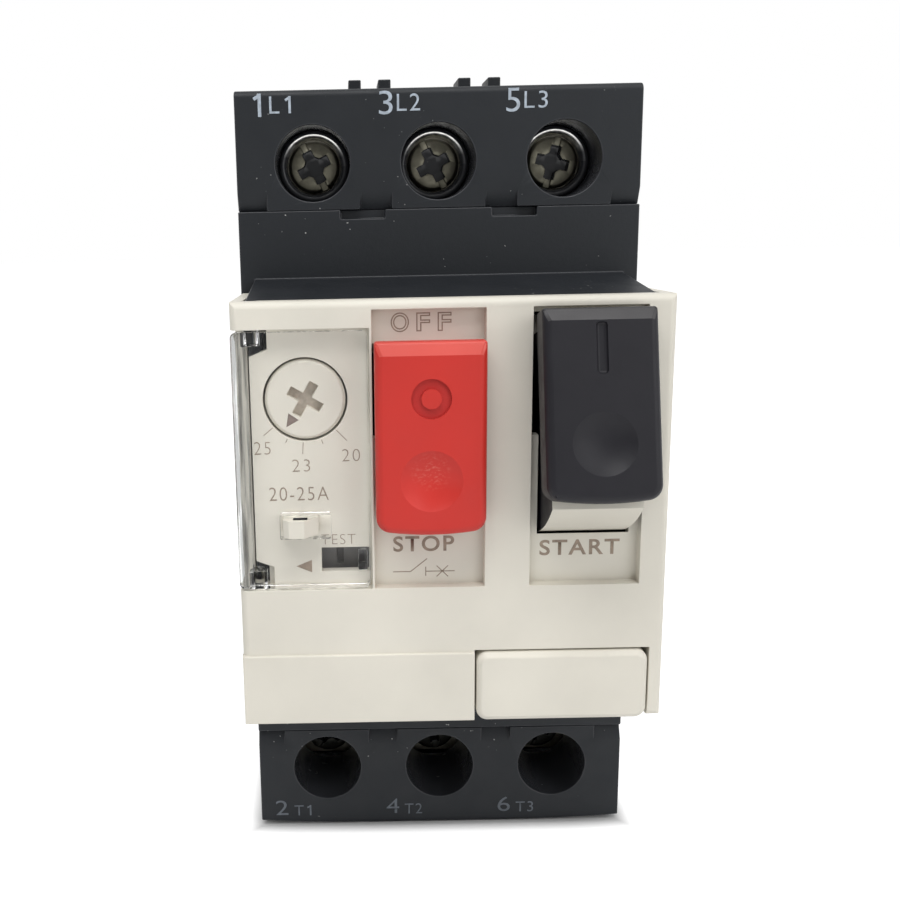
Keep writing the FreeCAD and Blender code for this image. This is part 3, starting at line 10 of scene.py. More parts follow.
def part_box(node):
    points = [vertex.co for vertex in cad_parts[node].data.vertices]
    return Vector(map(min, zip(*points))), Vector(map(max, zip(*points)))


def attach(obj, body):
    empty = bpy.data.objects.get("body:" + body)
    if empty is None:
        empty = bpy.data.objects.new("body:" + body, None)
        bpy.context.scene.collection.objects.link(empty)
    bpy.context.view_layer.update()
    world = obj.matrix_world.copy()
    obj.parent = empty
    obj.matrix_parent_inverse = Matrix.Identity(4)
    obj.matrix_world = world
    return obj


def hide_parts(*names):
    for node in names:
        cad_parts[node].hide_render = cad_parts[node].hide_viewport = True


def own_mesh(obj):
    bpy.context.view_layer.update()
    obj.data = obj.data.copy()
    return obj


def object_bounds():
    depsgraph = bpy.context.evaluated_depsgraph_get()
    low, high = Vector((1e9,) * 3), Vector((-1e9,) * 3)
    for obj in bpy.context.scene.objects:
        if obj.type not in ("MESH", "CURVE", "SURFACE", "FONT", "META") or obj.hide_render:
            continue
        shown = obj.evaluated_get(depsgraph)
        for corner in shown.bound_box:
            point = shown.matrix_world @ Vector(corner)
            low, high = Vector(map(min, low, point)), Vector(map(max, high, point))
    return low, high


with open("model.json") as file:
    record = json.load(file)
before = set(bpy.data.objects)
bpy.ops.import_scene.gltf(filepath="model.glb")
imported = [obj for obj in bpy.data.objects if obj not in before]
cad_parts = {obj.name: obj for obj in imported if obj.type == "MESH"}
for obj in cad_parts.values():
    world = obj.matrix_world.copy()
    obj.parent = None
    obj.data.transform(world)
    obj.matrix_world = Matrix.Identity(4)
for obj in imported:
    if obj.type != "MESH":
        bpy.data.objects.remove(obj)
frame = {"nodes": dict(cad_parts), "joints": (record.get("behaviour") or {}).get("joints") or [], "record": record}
cad_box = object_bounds()

bl_info = {
    "name": "Motor protection circuit breaker",
    "version": (1, 0, 0),
    "blender": (4, 5, 0),
    "location": "View3D > Sidebar > Breaker",
    "description": "Dresses the packed breaker with finishes, printing and screws on a pale stage",
    "category": "Object",
}

# The frame is in metres, with X to the right, Z up and the front facing -Y.
MM = 0.001
BACKWARDS = Vector((0, 1, 0))
UP_TO_FRONT = (math.pi / 2, 0, 0)  # turn that points what was upright to the front

NODES = frame["nodes"]
RECORD = frame["record"]
BODY_OF = {node: body for body, nodes in RECORD["behaviour"]["bodies"].items() for node in nodes}
SLOT_OF = {subpart["node"]: subpart["material_slot"] for subpart in RECORD["subparts"]}
JOINTS = {joint["name"]: joint for joint in frame["joints"]}
SIDES = ("line", "load")
POLES = (1, 2, 3)

# Merging, rounding and shading of meshes
MERGE_GAP = 2e-6
FLAT_ANGLE = math.radians(0.4)
EDGE_ANGLE = math.radians(28)
SMOOTH_ANGLE = math.radians(40)
CAP_EDGE_ANGLE = math.radians(33)
CAP_SMOOTH_ANGLE = math.radians(19)
EDGE_SEGMENTS = 2
CAP_SEGMENTS = 5
FACETS = 48
SAME_FINISH = -1  # finish of the faces beside a rounded edge

# Share of a face's normal from which, or up to which, the face counts as turned that way
FRONT_FACING = 0.9998
SHEET_FACING = 0.98
FLOOR_FACING = 0.9
SIDE_FACING = 0.6
WALL_FACING = 0.5
SLOPE_FACING = 0.2


def number(label, use, value, **kind):
    return FloatProperty(name=label, description=use, default=value, **kind)


def length(label, use, millimetres):
    return number(label, use, millimetres * MM, unit="LENGTH")


def angle(label, use, degrees):
    return number(label, use, math.radians(degrees), subtype="ANGLE")


def position(label, use, metres):
    return FloatVectorProperty(name=label, description=use, unit="LENGTH", default=metres)


def colour(label, use, rgb):
    return FloatVectorProperty(
        name=label, description=use, subtype="COLOR", min=0, max=1, default=rgb)


class BreakerFinish(PropertyGroup):
    housing: colour("Housing", "Black thermoset of the shells", (0.0110, 0.0130, 0.0160))
    # Lighter rounded edges of the shells: wear with a painted sheen
    housing_edge: colour("Housing edges", "Rubbed edges of the shells", (0.022, 0.024, 0.028))
    cream: colour("Cream", "Front cover, blank, dial and button carriers", (0.70, 0.67, 0.59))
    # Brownish tone of the painted shade in the corners of the cream mouldings
    grime: colour("Grime", "Dust in the corners of the cream mouldings", (0.30, 0.25, 0.19))
    red: colour("Red", "Face of the stop button", (0.535, 0.028, 0.020))
    # Painted highlight on the slope along the top of the stop button
    red_edge: colour("Red edges", "Rubbed edges of the stop button", (0.62, 0.066, 0.048))
    # Scuffs in the stop button's dimple, painted lighter and whiter as a sheen
    red_worn: colour("Worn red", "Scuffs in the stop button's dimple", (0.60, 0.10, 0.075))
    # Darker red of the sunk ring's floor: painted shade, on a matte finish
    red_sunk: colour("Sunk red", "Floor of the ring on the stop button", (0.46, 0.026, 0.022))
    start: colour("Start black", "Face of the start button", (0.0108, 0.0104, 0.0138))
    # Painted highlight on the slope along the top of the start button
    start_edge: colour("Start edges", "Rubbed edges of the start button", (0.036, 0.034, 0.036))
    slider: colour("Slider grey", "Test slider", (0.26, 0.25, 0.245))
    clear: colour("Clear", "Clear sealing cover", (0.90, 0.91, 0.90))
    ink: colour("Panel ink", "Brown-grey printing on the cream cover", (0.29, 0.23, 0.18))
    block_ink: colour("Block ink", "Terminal numbers of the line side", (0.37, 0.42, 0.48))
    # Darker copy of the terminal ink: painted shade on the numbers of the lower block
    faint_ink: colour("Faint ink", "Worn terminal numbers of the load side", (0.125, 0.14, 0.16))
    dial_mark: colour("Dial mark", "Sunk cross of the dial", (0.43, 0.38, 0.32))
    dial_arrow: colour("Dial arrow", "Sunk arrow of the dial", (0.21, 0.165, 0.145))
    # Black of the hole walls and collars, also laid as painted shade in the seal lug's hole and in the screws'
    # cross recesses
    bore: colour("Bores", "Glossy walls of the screwdriver holes", (0.040, 0.042, 0.048))
    # Tone of the painted highlight on the upper lip of the collars
    lip: colour("Rubbed lip", "Upper lip of the collars round the screws", (0.80, 0.80, 0.77))
    screw: colour("Screws", "Dull plating of the terminal screws", (0.21, 0.20, 0.155))
    # Darker copy of the screw plating: painted shade on the screws in the lower holes
    dark_screw: colour("Dark screws", "Oiled screws of the load side", (0.05, 0.05, 0.045))
    zinc: colour("Zinc", "Plated pins and washers", (0.52, 0.50, 0.42))
    copper: colour("Copper alloy", "Current path", (0.72, 0.43, 0.24))
    iron: colour("Iron", "Magnet yokes, arc plates and bimetals", (0.42, 0.42, 0.43))
    steel: colour("Spring steel", "Springs", (0.48, 0.48, 0.50))
    silver: colour("Silver", "Contact tips", (0.80, 0.79, 0.76))
    insulation: colour("Insulation", "Contact carrier, trip bar and latch", (0.58, 0.56, 0.49))
    dust: colour("Dust", "Pale specks on the dark mouldings", (0.45, 0.45, 0.44))


class BreakerSizes(PropertyGroup):
    shell_round: length("Shell edge", "Rounding of the moulded shells", 0.14)
    fine_round: length("Fine edge", "Rounding of small pieces", 0.06)
    hole: length("Hole", "Width across the screwdriver holes with their rims", 8.4)
    rib_trim: length("Rib trim", "How much the outermost ribs are taken down", 3.0)
    rib_reach: length("Rib reach", "How far from the side the outermost ribs lie", 5.0)
    seal_place: position(
        "Seal hole", "Middle of the hole in the seal lug", (-0.01595, -0.07015, -0.0007))
    seal_reach: position(
        "Seal hole reach", "Half the size of the hole in the seal lug", (0.0008, 0.0005, 0.0013))
    cap_round: length("Cap edge", "Rounding of the button caps", 0.3)
    # The slope along the top of a cap is painted lighter as a highlight
    cap_slope: length("Cap slope", "Height of the rubbed slope along the top of a cap", 2.6)
    dimple: length("Dimple", "Width of the thumb dimples", 6.25)
    dimple_deep: length("Dimple depth", "Depth of the thumb dimples", 0.82)
    dimple_rise: length("Dimple height", "Dimple centre above the foot of a pressed cap", 5.7)
    ring_outer: length("Ring outside", "Outside of the sunk ring on the stop button", 4.0)
    ring_inner: length("Ring inside", "Inside of the sunk ring on the stop button", 2.0)
    ring_drop: length("Ring height", "Ring centre below the top of the stop button", 5.6)
    bar_long: length("Bar length", "Length of the sunk bar on the start button", 5.0)
    bar_wide: length("Bar width", "Width of the sunk bar on the start button", 1.1)
    bar_drop: length("Bar height", "Bar centre below the top of the pressed start button", 4.0)
    sunk: length("Sunk depth", "Depth of the ring and of the bar", 0.35)
    clear_sheet: length("Clear sheet", "Thickness of the clear cover's face", 1.3)
    clear_band: length("Clear band", "Width of the streaked band along the cover's hinge", 1.5)
    arrow_tip: length("Arrow tip", "Tip of the dial arrow from the dial centre", 3.5)
    arrow_base: length("Arrow base", "Base of the dial arrow from the dial centre", 2.15)
    arrow_wide: length("Arrow width", "Width of the dial arrow", 1.3)
    arrow_deep: length("Arrow depth", "Depth of the dial arrow", 0.08)
    arrow_turn: angle("Arrow turn", "Direction of the dial arrow, from the right", 235.0)
    ink_height: length("Ink height", "How far the printing stands off its carrier", 0.015)
    stroke: length("Stroke", "Width of the printed lines", 0.13)
    thread_pitch: length("Thread pitch", "Pitch of the terminal screws", 0.7)
    thread_depth: length("Thread depth", "Depth of the thread", 0.38)
    slot_wide: length("Slot width", "Width of the slot across a screw head", 0.75)
    slot_deep: length("Slot depth", "Depth of the slot across a screw head", 0.45)
    cross_wide: length("Cross width", "Width of an arm of the cross recess", 1.2)
    cross_long: length("Cross length", "Length of the cross recess", 3.9)
    cross_deep: length("Cross depth", "Depth of the cross recess", 1.7)
    cross_core: length("Cross middle", "Width of the wider middle of the cross recess", 2.3)
    collar_gap: length("Collar gap", "Gap between a screw head and the collar round it", 0.12)
    spring_ease: length("Spring ease", "How much further a spring gives than it is pressed", 0.25)


class BreakerStage(PropertyGroup):
    camera_place: position("Camera place", "Place of the lens", (-0.010872, -0.174561, 0.029234))
    camera_yaw: angle("Camera yaw", "Turn to the right", -0.356)
    camera_pitch: angle("Camera pitch", "Tilt downwards", 11.803)
    camera_roll: angle("Camera roll", "Roll about the view", -1.215)
    focal: number("Focal length", "Focal length in mm", 41.966)
    film: number("Film width", "Width of the film in mm", 36.0)
    shift: number("Shift", "Sideways shift of the frame", 0.1222)
    ambient: number("Ambient", "Light of the surroundings", 0.32)
    room: number("Room", "Brightness of the room in front in reflections", 0.3)
    key: number("Key lamp", "Power of the lamp on the left", 1.05, unit="POWER")
    fill: number("Fill lamp", "Power of the lamp on the right", 1.3, unit="POWER")
    top: number("Top lamp", "Power of the lamp above", 1.6, unit="POWER")
    floor_lift: number("Floor lift", "Own light of the floor in view", 0.72)


# Materials


CLEAR_IOR = 1.5
# How far the painted shade in corners looks for nearby faces
CORNER_SHADE_REACH = 0.9 * MM
# Scuffed spot of the stop button, painted lighter as a sheen: behind its face, above its foot, and how far it
# reaches
SCUFF_SHEEN_DEEP, SCUFF_SHEEN_RISE, SCUFF_SHEEN_REACH = 0.6 * MM, 6.6 * MM, 2.3 * MM
# Where the painted highlight of a collar starts and is full, from the screw's middle to its top
HIGHLIGHT_STARTS, HIGHLIGHT_FULL = 0.35, 0.9


def opaque(rgb, gain=1.0):
    return (*(min(1.0, part * gain) for part in rgb), 1.0)


class Nodes:
    """Shader nodes of a material or a world. Inputs are values, or sockets to link from."""

    def __init__(self, tree):
        self.tree = tree

    def wire(self, node, inputs):
        for name, value in inputs.items():
            if isinstance(value, NodeSocket):
                self.tree.links.new(value, node.inputs[name])
            else:
                node.inputs[name].default_value = value

    def add(self, kind, inputs=None, **settings):
        node = self.tree.nodes.new("ShaderNode" + kind)
        for name, value in settings.items():
            setattr(node, name, value)
        self.wire(node, inputs or {})
        return node

    def ranged(self, value, low, high, to_low=0.0, to_high=1.0):
        return self.add("MapRange", {"Value": value, "From Min": low, "From Max": high,
                                     "To Min": to_low, "To Max": to_high}).outputs[0]

    def maths(self, operation, first, second):
        return self.add("Math", {0: first, 1: second}, operation=operation).outputs[0]

    def vectors(self, operation, first, second=(0, 0, 0), output=0):
        inputs = {0: first, 1: second}
        return self.add("VectorMath", inputs, operation=operation).outputs[output]

    def mixed(self, factor, first, second):
        return self.add("Mix", {0: factor, 6: first, 7: second}, data_type="RGBA").outputs[2]

    def chosen(self, factor, first, second):
        return self.add("Mix", {0: factor, 2: first, 3: second}).outputs[0]

    def rays(self):
        """Sockets that are 1 for the camera's own rays, and for mirror and glass rays."""
        path = self.add("LightPath").outputs
        sharp = self.maths("MAXIMUM", path["Is Glossy Ray"], path["Is Transmission Ray"])
        return path["Is Camera Ray"], sharp


class MaterialNodes(Nodes):
    """Shader nodes of a new material, laid out by object coordinates."""

    def __init__(self, name):
        self.material = bpy.data.materials.new(name)
        self.material.use_nodes = True
        super().__init__(self.material.node_tree)
        self.shader = self.tree.nodes["Principled BSDF"]
        self.place = self.add("TexCoord").outputs["Object"]

    def noise(self, scale, detail, stretch=None):
        place = self.place
        if stretch:
            place = self.add("Mapping", {"Vector": place, "Scale": stretch}).outputs[0]
        return self.add("TexNoise", {"Vector": place, "Scale": scale, "Detail": detail}).outputs[0]

    def mottle(self, scale, detail, low, high, to_low=0.0, to_high=1.0, stretch=None):
        """Noise between two levels, spread over a range."""
        return self.ranged(self.noise(scale, detail, stretch), low, high, to_low, to_high)

    def overlaid(self, shade, rgb, first, second):
        """A colour laid over a shade where two masks meet."""
        return self.mixed(self.maths("MULTIPLY", first, second), shade, opaque(rgb))

    def bump(self, height, strength, distance):
        inputs = {"Height": height, "Strength": strength, "Distance": distance}
        return self.add("Bump", inputs).outputs[0]

    def shaded(self, inputs):
        self.wire(self.shader, inputs)
        return self.material


def moulded(name, rgb, roughness, specular, grain, dust=None, grime=None, worn=None):
    """Moulded plastic with a fine grain and uneven gloss. It may have dust specks, painted shade
    in its corners, and scuffs in the stop button's dimple painted lighter as a sheen, each given by its colour."""
    nodes = MaterialNodes(name)
    tone = nodes.mottle(scale=95, detail=4, low=0.3, high=0.7)
    shade = nodes.mixed(tone, opaque(rgb, 0.95), opaque(rgb, 1.05))
    # Painted shade: the tone darkens towards a brown where ambient occlusion finds a corner
    if grime:
        hollow = nodes.add("AmbientOcclusion", {"Distance": CORNER_SHADE_REACH}, samples=8,
                           only_local=True).outputs["AO"]
        corner = nodes.ranged(hollow, low=0.75, high=0.25, to_high=0.55)
        patch = nodes.mottle(scale=700, detail=3, low=0.3, high=0.65, to_low=0.35)
        shade = nodes.overlaid(shade, grime, corner, patch)
    if dust:
        speck = nodes.mottle(scale=2300, detail=1, low=0.76, high=0.79)
        patch = nodes.mottle(scale=110, detail=2, low=0.5, high=0.64)
        shade = nodes.overlaid(shade, dust, speck, patch)
    # Scuffs round the thumb spot of STOP, painted lighter as a sheen
    if worn:
        low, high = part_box("stop_cap")
        thumb = Vector(((low.x + high.x) / 2, low.y + SCUFF_SHEEN_DEEP, low.z + SCUFF_SHEEN_RISE))
        away = nodes.vectors("DISTANCE", nodes.place, thumb, "Value")
        scuff = nodes.mottle(scale=2600, detail=3, low=0.5, high=0.7, stretch=(1, 1, 1.6))
        near = nodes.ranged(away, low=SCUFF_SHEEN_REACH, high=0.3 * SCUFF_SHEEN_REACH)
        shade = nodes.overlaid(shade, worn, scuff, near)
    gloss = nodes.mottle(scale=380, detail=3, low=0.3, high=0.7,
                         to_low=roughness - 0.05, to_high=roughness + 0.06)
    pores = nodes.noise(scale=2600, detail=2)
    return nodes.shaded({
        "Base Color": shade,
        "Roughness": gloss,
        "Specular IOR Level": specular,
        "Normal": nodes.bump(pores, strength=grain, distance=0.03 * MM),
    })


def highlit(name, rgb, pale):
    """Black plating of the collars round the screws, painted pale and metallic towards their top as a highlight.
    """
    nodes = MaterialNodes(name)
    low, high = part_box("line_screw_1")
    middle = (low.z + high.z) / 2
    bottom, top = ((1 - share) * middle + share * high.z for share in (HIGHLIGHT_STARTS, HIGHLIGHT_FULL))
    worn = nodes.ranged(nodes.add("SeparateXYZ", {0: nodes.place}).outputs["Z"], bottom, top)
    patch = nodes.mottle(scale=1500, detail=2, low=0.3, high=0.6, to_low=0.6)
    bright = nodes.maths("MULTIPLY", worn, patch)
    return nodes.shaded({
        "Base Color": nodes.mixed(bright, opaque(rgb), opaque(pale)),
        "Metallic": worn,
        "Roughness": 0.3,
    })


def metal(name, rgb, roughness, brushed=(1, 1, 1)):
    """Bare or plated metal with stains and fine scratches along one direction."""
    nodes = MaterialNodes(name)
    stain = nodes.mottle(scale=520, detail=4, low=0.35, high=0.68)
    scratch = nodes.noise(scale=1800, detail=2, stretch=brushed)
    return nodes.shaded({
        "Base Color": nodes.mixed(stain, opaque(rgb, 0.72), opaque(rgb, 1.08)),
        "Roughness": nodes.ranged(scratch, 0.3, 0.7, roughness - 0.08, roughness + 0.1),
        "Metallic": 1.0,
        "Normal": nodes.bump(scratch, strength=0.25, distance=0.02 * MM),
    })


def printed(name, rgb):
    """Pad printing, thin enough in places to look uneven."""
    nodes = MaterialNodes(name)
    thin = nodes.mottle(scale=1900, detail=3, low=0.35, high=0.7)
    return nodes.shaded({
        "Base Color": nodes.mixed(thin, opaque(rgb, 0.9), opaque(rgb, 1.25)),
        "Roughness": 0.6,
        "Specular IOR Level": 0.3,
    })


def clear_plate(name, rgb):
    """Face of the clear cover: see-through, with more reflection at a grazing view."""
    nodes = MaterialNodes(name)
    facing = nodes.add("LayerWeight", {"Blend": 0.5}).outputs["Facing"]
    haze = nodes.mottle(scale=260, detail=3, low=0.35, high=0.7, to_low=0.05, to_high=0.12)
    return nodes.shaded({
        "Base Color": opaque(rgb),
        "IOR": CLEAR_IOR,
        "Roughness": haze,
        "Alpha": nodes.ranged(facing, low=0.55, high=1.0, to_low=0.012, to_high=0.3),
    })


def clear_edge(name, rgb):
    """Edges, hinge wall and latch of the clear cover, which bend what is behind them. Dark streaks painted into
    their tint stand in for the dark lines that this bending shows.
    """
    nodes = MaterialNodes(name)
    # Painted dark streaks, standing in for the lines that refraction shows
    painted_refraction_streak = nodes.mottle(scale=1500, detail=3, low=0.47, high=0.57, stretch=(1, 1, 0.05))
    haze = nodes.mottle(scale=900, detail=2, low=0.35, high=0.7, to_low=0.02, to_high=0.07)
    ripple = nodes.noise(scale=420, detail=2, stretch=(1, 1, 0.25))
    return nodes.shaded({
        "Base Color": nodes.mixed(painted_refraction_streak, opaque(rgb), opaque(rgb, 0.22)),
        "Transmission Weight": 1.0,
        "IOR": CLEAR_IOR,
        "Roughness": haze,
        "Normal": nodes.bump(ripple, strength=0.35, distance=0.2 * MM),
    })


def plastic(tone, roughness, specular, grain, **extras):
    return moulded, tone, dict(roughness=roughness, specular=specular, grain=grain, **extras)


# Maker of each finish, its tone in BreakerFinish, and the maker's values. Words are further tones.
FINISHES = {
    "black_housing": plastic("housing", 0.5, 0.28, 0.4, dust="dust"),
    "black_edge": plastic("housing_edge", 0.42, 0.35, 0.2),
    "black_bore": plastic("bore", 0.22, 0.4, 0.1),
    "rubbed_lip": (highlit, "bore", {"pale": "lip"}),
    "cream_plastic": plastic("cream", 0.48, 0.4, 0.18, grime="grime"),
    "red_plastic": plastic("red", 0.42, 0.32, 0.15, worn="red_worn"),
    "red_edge": plastic("red_edge", 0.34, 0.5, 0.1),
    "red_sunk": plastic("red_sunk", 0.6, 0.3, 0.3),
    "button_black": plastic("start", 0.46, 0.24, 0.25),
    "button_edge": plastic("start_edge", 0.42, 0.35, 0.2),
    "grey_plastic": plastic("slider", 0.5, 0.4, 0.3),
    "white_plastic": plastic("insulation", 0.55, 0.4, 0.3),
    "clear_plastic": (clear_plate, "clear", {}),
    "clear_edge": (clear_edge, "clear", {}),
    "dull_screw": (metal, "screw", {"roughness": 0.45}),
    "dark_screw": (metal, "dark_screw", {"roughness": 0.5}),
    "zinc_steel": (metal, "zinc", {"roughness": 0.4}),
    "spring_steel": (metal, "steel", {"roughness": 0.32}),
    "iron": (metal, "iron", {"roughness": 0.5, "brushed": (1, 1, 0.1)}),
    "copper_alloy": (metal, "copper", {"roughness": 0.36, "brushed": (1, 1, 0.15)}),
    "silver_tip": (metal, "silver", {"roughness": 0.3}),
    "panel_ink": (printed, "ink", {}),
    "block_ink": (printed, "block_ink", {}),
    "faint_ink": (printed, "faint_ink", {}),
    "dial_mark": (printed, "dial_mark", {}),
    "dial_arrow": (printed, "dial_arrow", {}),
}


def finish(slot):
    """Finish of a material slot, built the first time it is asked for."""
    name = "breaker_" + slot
    if name not in bpy.data.materials:
        tones = bpy.context.scene.breaker_finish
        maker, tone, values = FINISHES[slot]
        values = {key: getattr(tones, value) if isinstance(value, str) else value
                  for key, value in values.items()}
        maker(name, getattr(tones, tone), **values)
    return bpy.data.materials[name]


# Modelling


def only(piece):
    """Makes one object the selected and active one."""
    bpy.ops.object.select_all(action="DESELECT")
    piece.select_set(True)
    bpy.context.view_layer.objects.active = piece


def editing(piece):
    only(piece)
    bpy.ops.object.mode_set(mode="EDIT")
    bpy.ops.mesh.select_all(action="SELECT")


def edited():
    bpy.ops.object.mode_set(mode="OBJECT")


def settled(piece):
    """Moves the object's place, turn and size into its mesh."""
    only(piece)
    bpy.ops.object.transform_apply(location=True, rotation=True, scale=True)
    return piece


def placed(piece, place, size=(1, 1, 1)):
    piece.scale = size
    piece.location = place
    return settled(piece)


def turned(piece, turn, axis, centre):
    """Turns the mesh about an axis through a point."""
    centre = Vector(centre)
    spin = Matrix.Rotation(turn, 4, axis)
    spin = Matrix.Translation(centre) @ spin @ Matrix.Translation(-centre)
    piece.matrix_world = spin @ piece.matrix_world
    return settled(piece)


def modified(piece, kind, **settings):
    only(piece)
    bpy.ops.object.modifier_add(type=kind)
    modifier = piece.modifiers[-1]
    for name, value in settings.items():
        setattr(modifier, name, value)
    bpy.ops.object.modifier_apply(modifier=modifier.name)
    return piece


def copied(piece, name):
    copy = bpy.data.objects.new(name, piece.data.copy())
    bpy.context.scene.collection.objects.link(copy)
    return copy


def merged_copy(node):
    """Copy of a CAD node with its loose triangles merged into flat four-sided faces."""
    piece = copied(NODES[node], "dressed_" + node)
    piece.data.materials.clear()
    editing(piece)
    bpy.ops.mesh.remove_doubles(threshold=MERGE_GAP)
    bpy.ops.mesh.tris_convert_to_quads(face_threshold=FLAT_ANGLE, shape_threshold=math.pi)
    edited()
    return piece


def span(mesh):
    """Largest distance of a mesh from the origin along each axis. An empty mesh has no end."""
    return [max((abs(vertex.co[axis]) for vertex in mesh.vertices), default=math.inf)
            for axis in range(3)]


def cut(piece, cutter):
    """Cuts a piece. A cut that makes it larger has failed. Then the whole piece is put back
    and the next solver tries, and if both fail the piece stays whole."""
    whole = piece.data.copy()
    for solver in ("EXACT", "FAST"):
        modified(piece, "BOOLEAN", operation="DIFFERENCE", solver=solver, object=cutter)
        if all(now <= then + MERGE_GAP for now, then in zip(span(piece.data), span(whole))):
            break
        print("the %s cut of %s failed" % (solver, piece.name))
        piece.data = whole.copy()
    bpy.data.meshes.remove(whole)
    bpy.data.objects.remove(cutter)
    return piece


def painted(piece, *finishes):
    for name in finishes:
        piece.data.materials.append(finish(name))
    return piece


def repaint(piece, index, fits):
    """Gives a finish of the piece to the faces whose centre and normal fit."""
    for polygon in piece.data.polygons:
        if fits(polygon.center, polygon.normal):
            polygon.material_index = index


def off_axis(point, axis):
    """Distance of a point from a line along the breaker's depth."""
    return (point - axis).xz.length


def rounded(piece, width, segments=EDGE_SEGMENTS, edge_slot=SAME_FINISH, sharper=EDGE_ANGLE):
    """Rounds the edges sharper than an angle. The new faces may get a finish slot of their own."""
    return modified(
        piece, "BEVEL", width=width, segments=segments, limit_method="ANGLE", angle_limit=sharper,
        use_clamp_overlap=False, miter_outer="MITER_ARC", loop_slide=False, material=edge_slot)


def smoothed(piece, angle=SMOOTH_ANGLE, flat_front=False):
    """Smooth shading. The faces turned straight to the front may be left flat."""
    only(piece)
    bpy.ops.object.shade_smooth_by_angle(angle=angle)
    if flat_front:
        bpy.context.tool_settings.mesh_select_mode = (False, False, True)
        for polygon in piece.data.polygons:
            polygon.select = polygon.normal.y < -FRONT_FACING
        bpy.ops.object.mode_set(mode="EDIT")
        bpy.ops.mesh.faces_shade_flat()
        edited()
        bpy.context.tool_settings.mesh_select_mode = (True, False, False)
    return modified(piece, "WEIGHTED_NORMAL", mode="FACE_AREA", weight=90, keep_sharp=True)


def softened(piece, width, *finishes):
    """Paints and rounds a piece. A second finish goes on the rounded edges."""
    painted(piece, *finishes)
    return smoothed(rounded(piece, width, edge_slot=1 if len(finishes) > 1 else SAME_FINISH))


def riding(piece, node):
    """Moves with a CAD node and is made of the same."""
    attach(piece, BODY_OF[node])
    return piece


def fitted(piece, node):
    """Stands for a CAD node."""
    riding(piece, node)
    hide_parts(node)
    return piece


def dressed(node, width, *finishes):
    return fitted(softened(merged_copy(node), width, *finishes), node)


def added(primitive, **settings):
    """New piece from one of the mesh primitives."""
    bpy.ops.object.select_all(action="DESELECT")
    getattr(bpy.ops.mesh, "primitive_%s_add" % primitive)(**settings)
    return settled(bpy.context.object)


def cylinder(radius, depth, place=(0, 0, 0), facets=FACETS):
    """Round bar along the depth of the breaker."""
    return added("cylinder", vertices=facets, radius=radius, depth=depth, location=place,
                 rotation=UP_TO_FRONT)


def block(size, place):
    return placed(added("cube", size=1), place, size)


def sphere(radius, place):
    """Ball with its poles to the front and back."""
    return added("uv_sphere", segments=96, ring_count=64, radius=radius, location=place,
                 rotation=UP_TO_FRONT)


def joined(pieces):
    bpy.ops.object.select_all(action="DESELECT")
    for piece in pieces:
        piece.select_set(True)
    bpy.context.view_layer.objects.active = pieces[0]
    bpy.ops.object.join()
    return pieces[0]


def carrier_face(node, x, z):
    """Depth coordinate where a dressed node's front surface lies behind a point."""
    carrier = bpy.data.objects["dressed_" + node]
    before = Vector((x, cad_box[0][1] - MM, z))
    hit, place, _normal, _index = carrier.ray_cast(before, BACKWARDS)
    if not hit:
        raise RuntimeError("nothing of %s lies behind x %.4f, z %.4f" % (node, x, z))
    return place.y


# Pieces


class BREAKER_OT_inner_works(Operator):
    """Give every piece that keeps its CAD shape its own finish"""
    bl_idname = "breaker.inner_works"
    bl_label = "Inner works"

    def execute(self, context):
        for name, node in NODES.items():
            node.data.materials.clear()
            painted(node, SLOT_OF[name])
        return {"FINISHED"}


class BREAKER_OT_springs(Operator):
    """Dress the return springs"""
    bl_idname = "breaker.springs"
    bl_label = "Return springs"

    def execute(self, context):
        sizes = context.scene.breaker_sizes
        for joint in RECORD["behaviour"]["joints"]:
            for spring in joint.get("deforming_nodes", ()):
                self.dress(joint, spring, sizes.spring_ease)
        return {"FINISHED"}

    def dress(self, joint, spring, ease):
        node, letter = spring["node"], spring["mode"][-1]
        axis = "xyz".index(letter)
        low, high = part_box(node)
        anchor = (low + high) / 2
        anchor[axis] = spring["fixed_end_%s_m" % letter]
        piece = fitted(smoothed(painted(merged_copy(node), SLOT_OF[node])), node)
        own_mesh(piece)

    def travel(self, joint, place):
        """How far a joint moves a point from rest to its limit."""
        if joint["type"] == "slide":
            return joint["range_m"][1]
        arm = (place - Vector(joint["pos_m"])).z
        return abs(arm) * math.sin(math.radians(joint["range_deg"][1]))


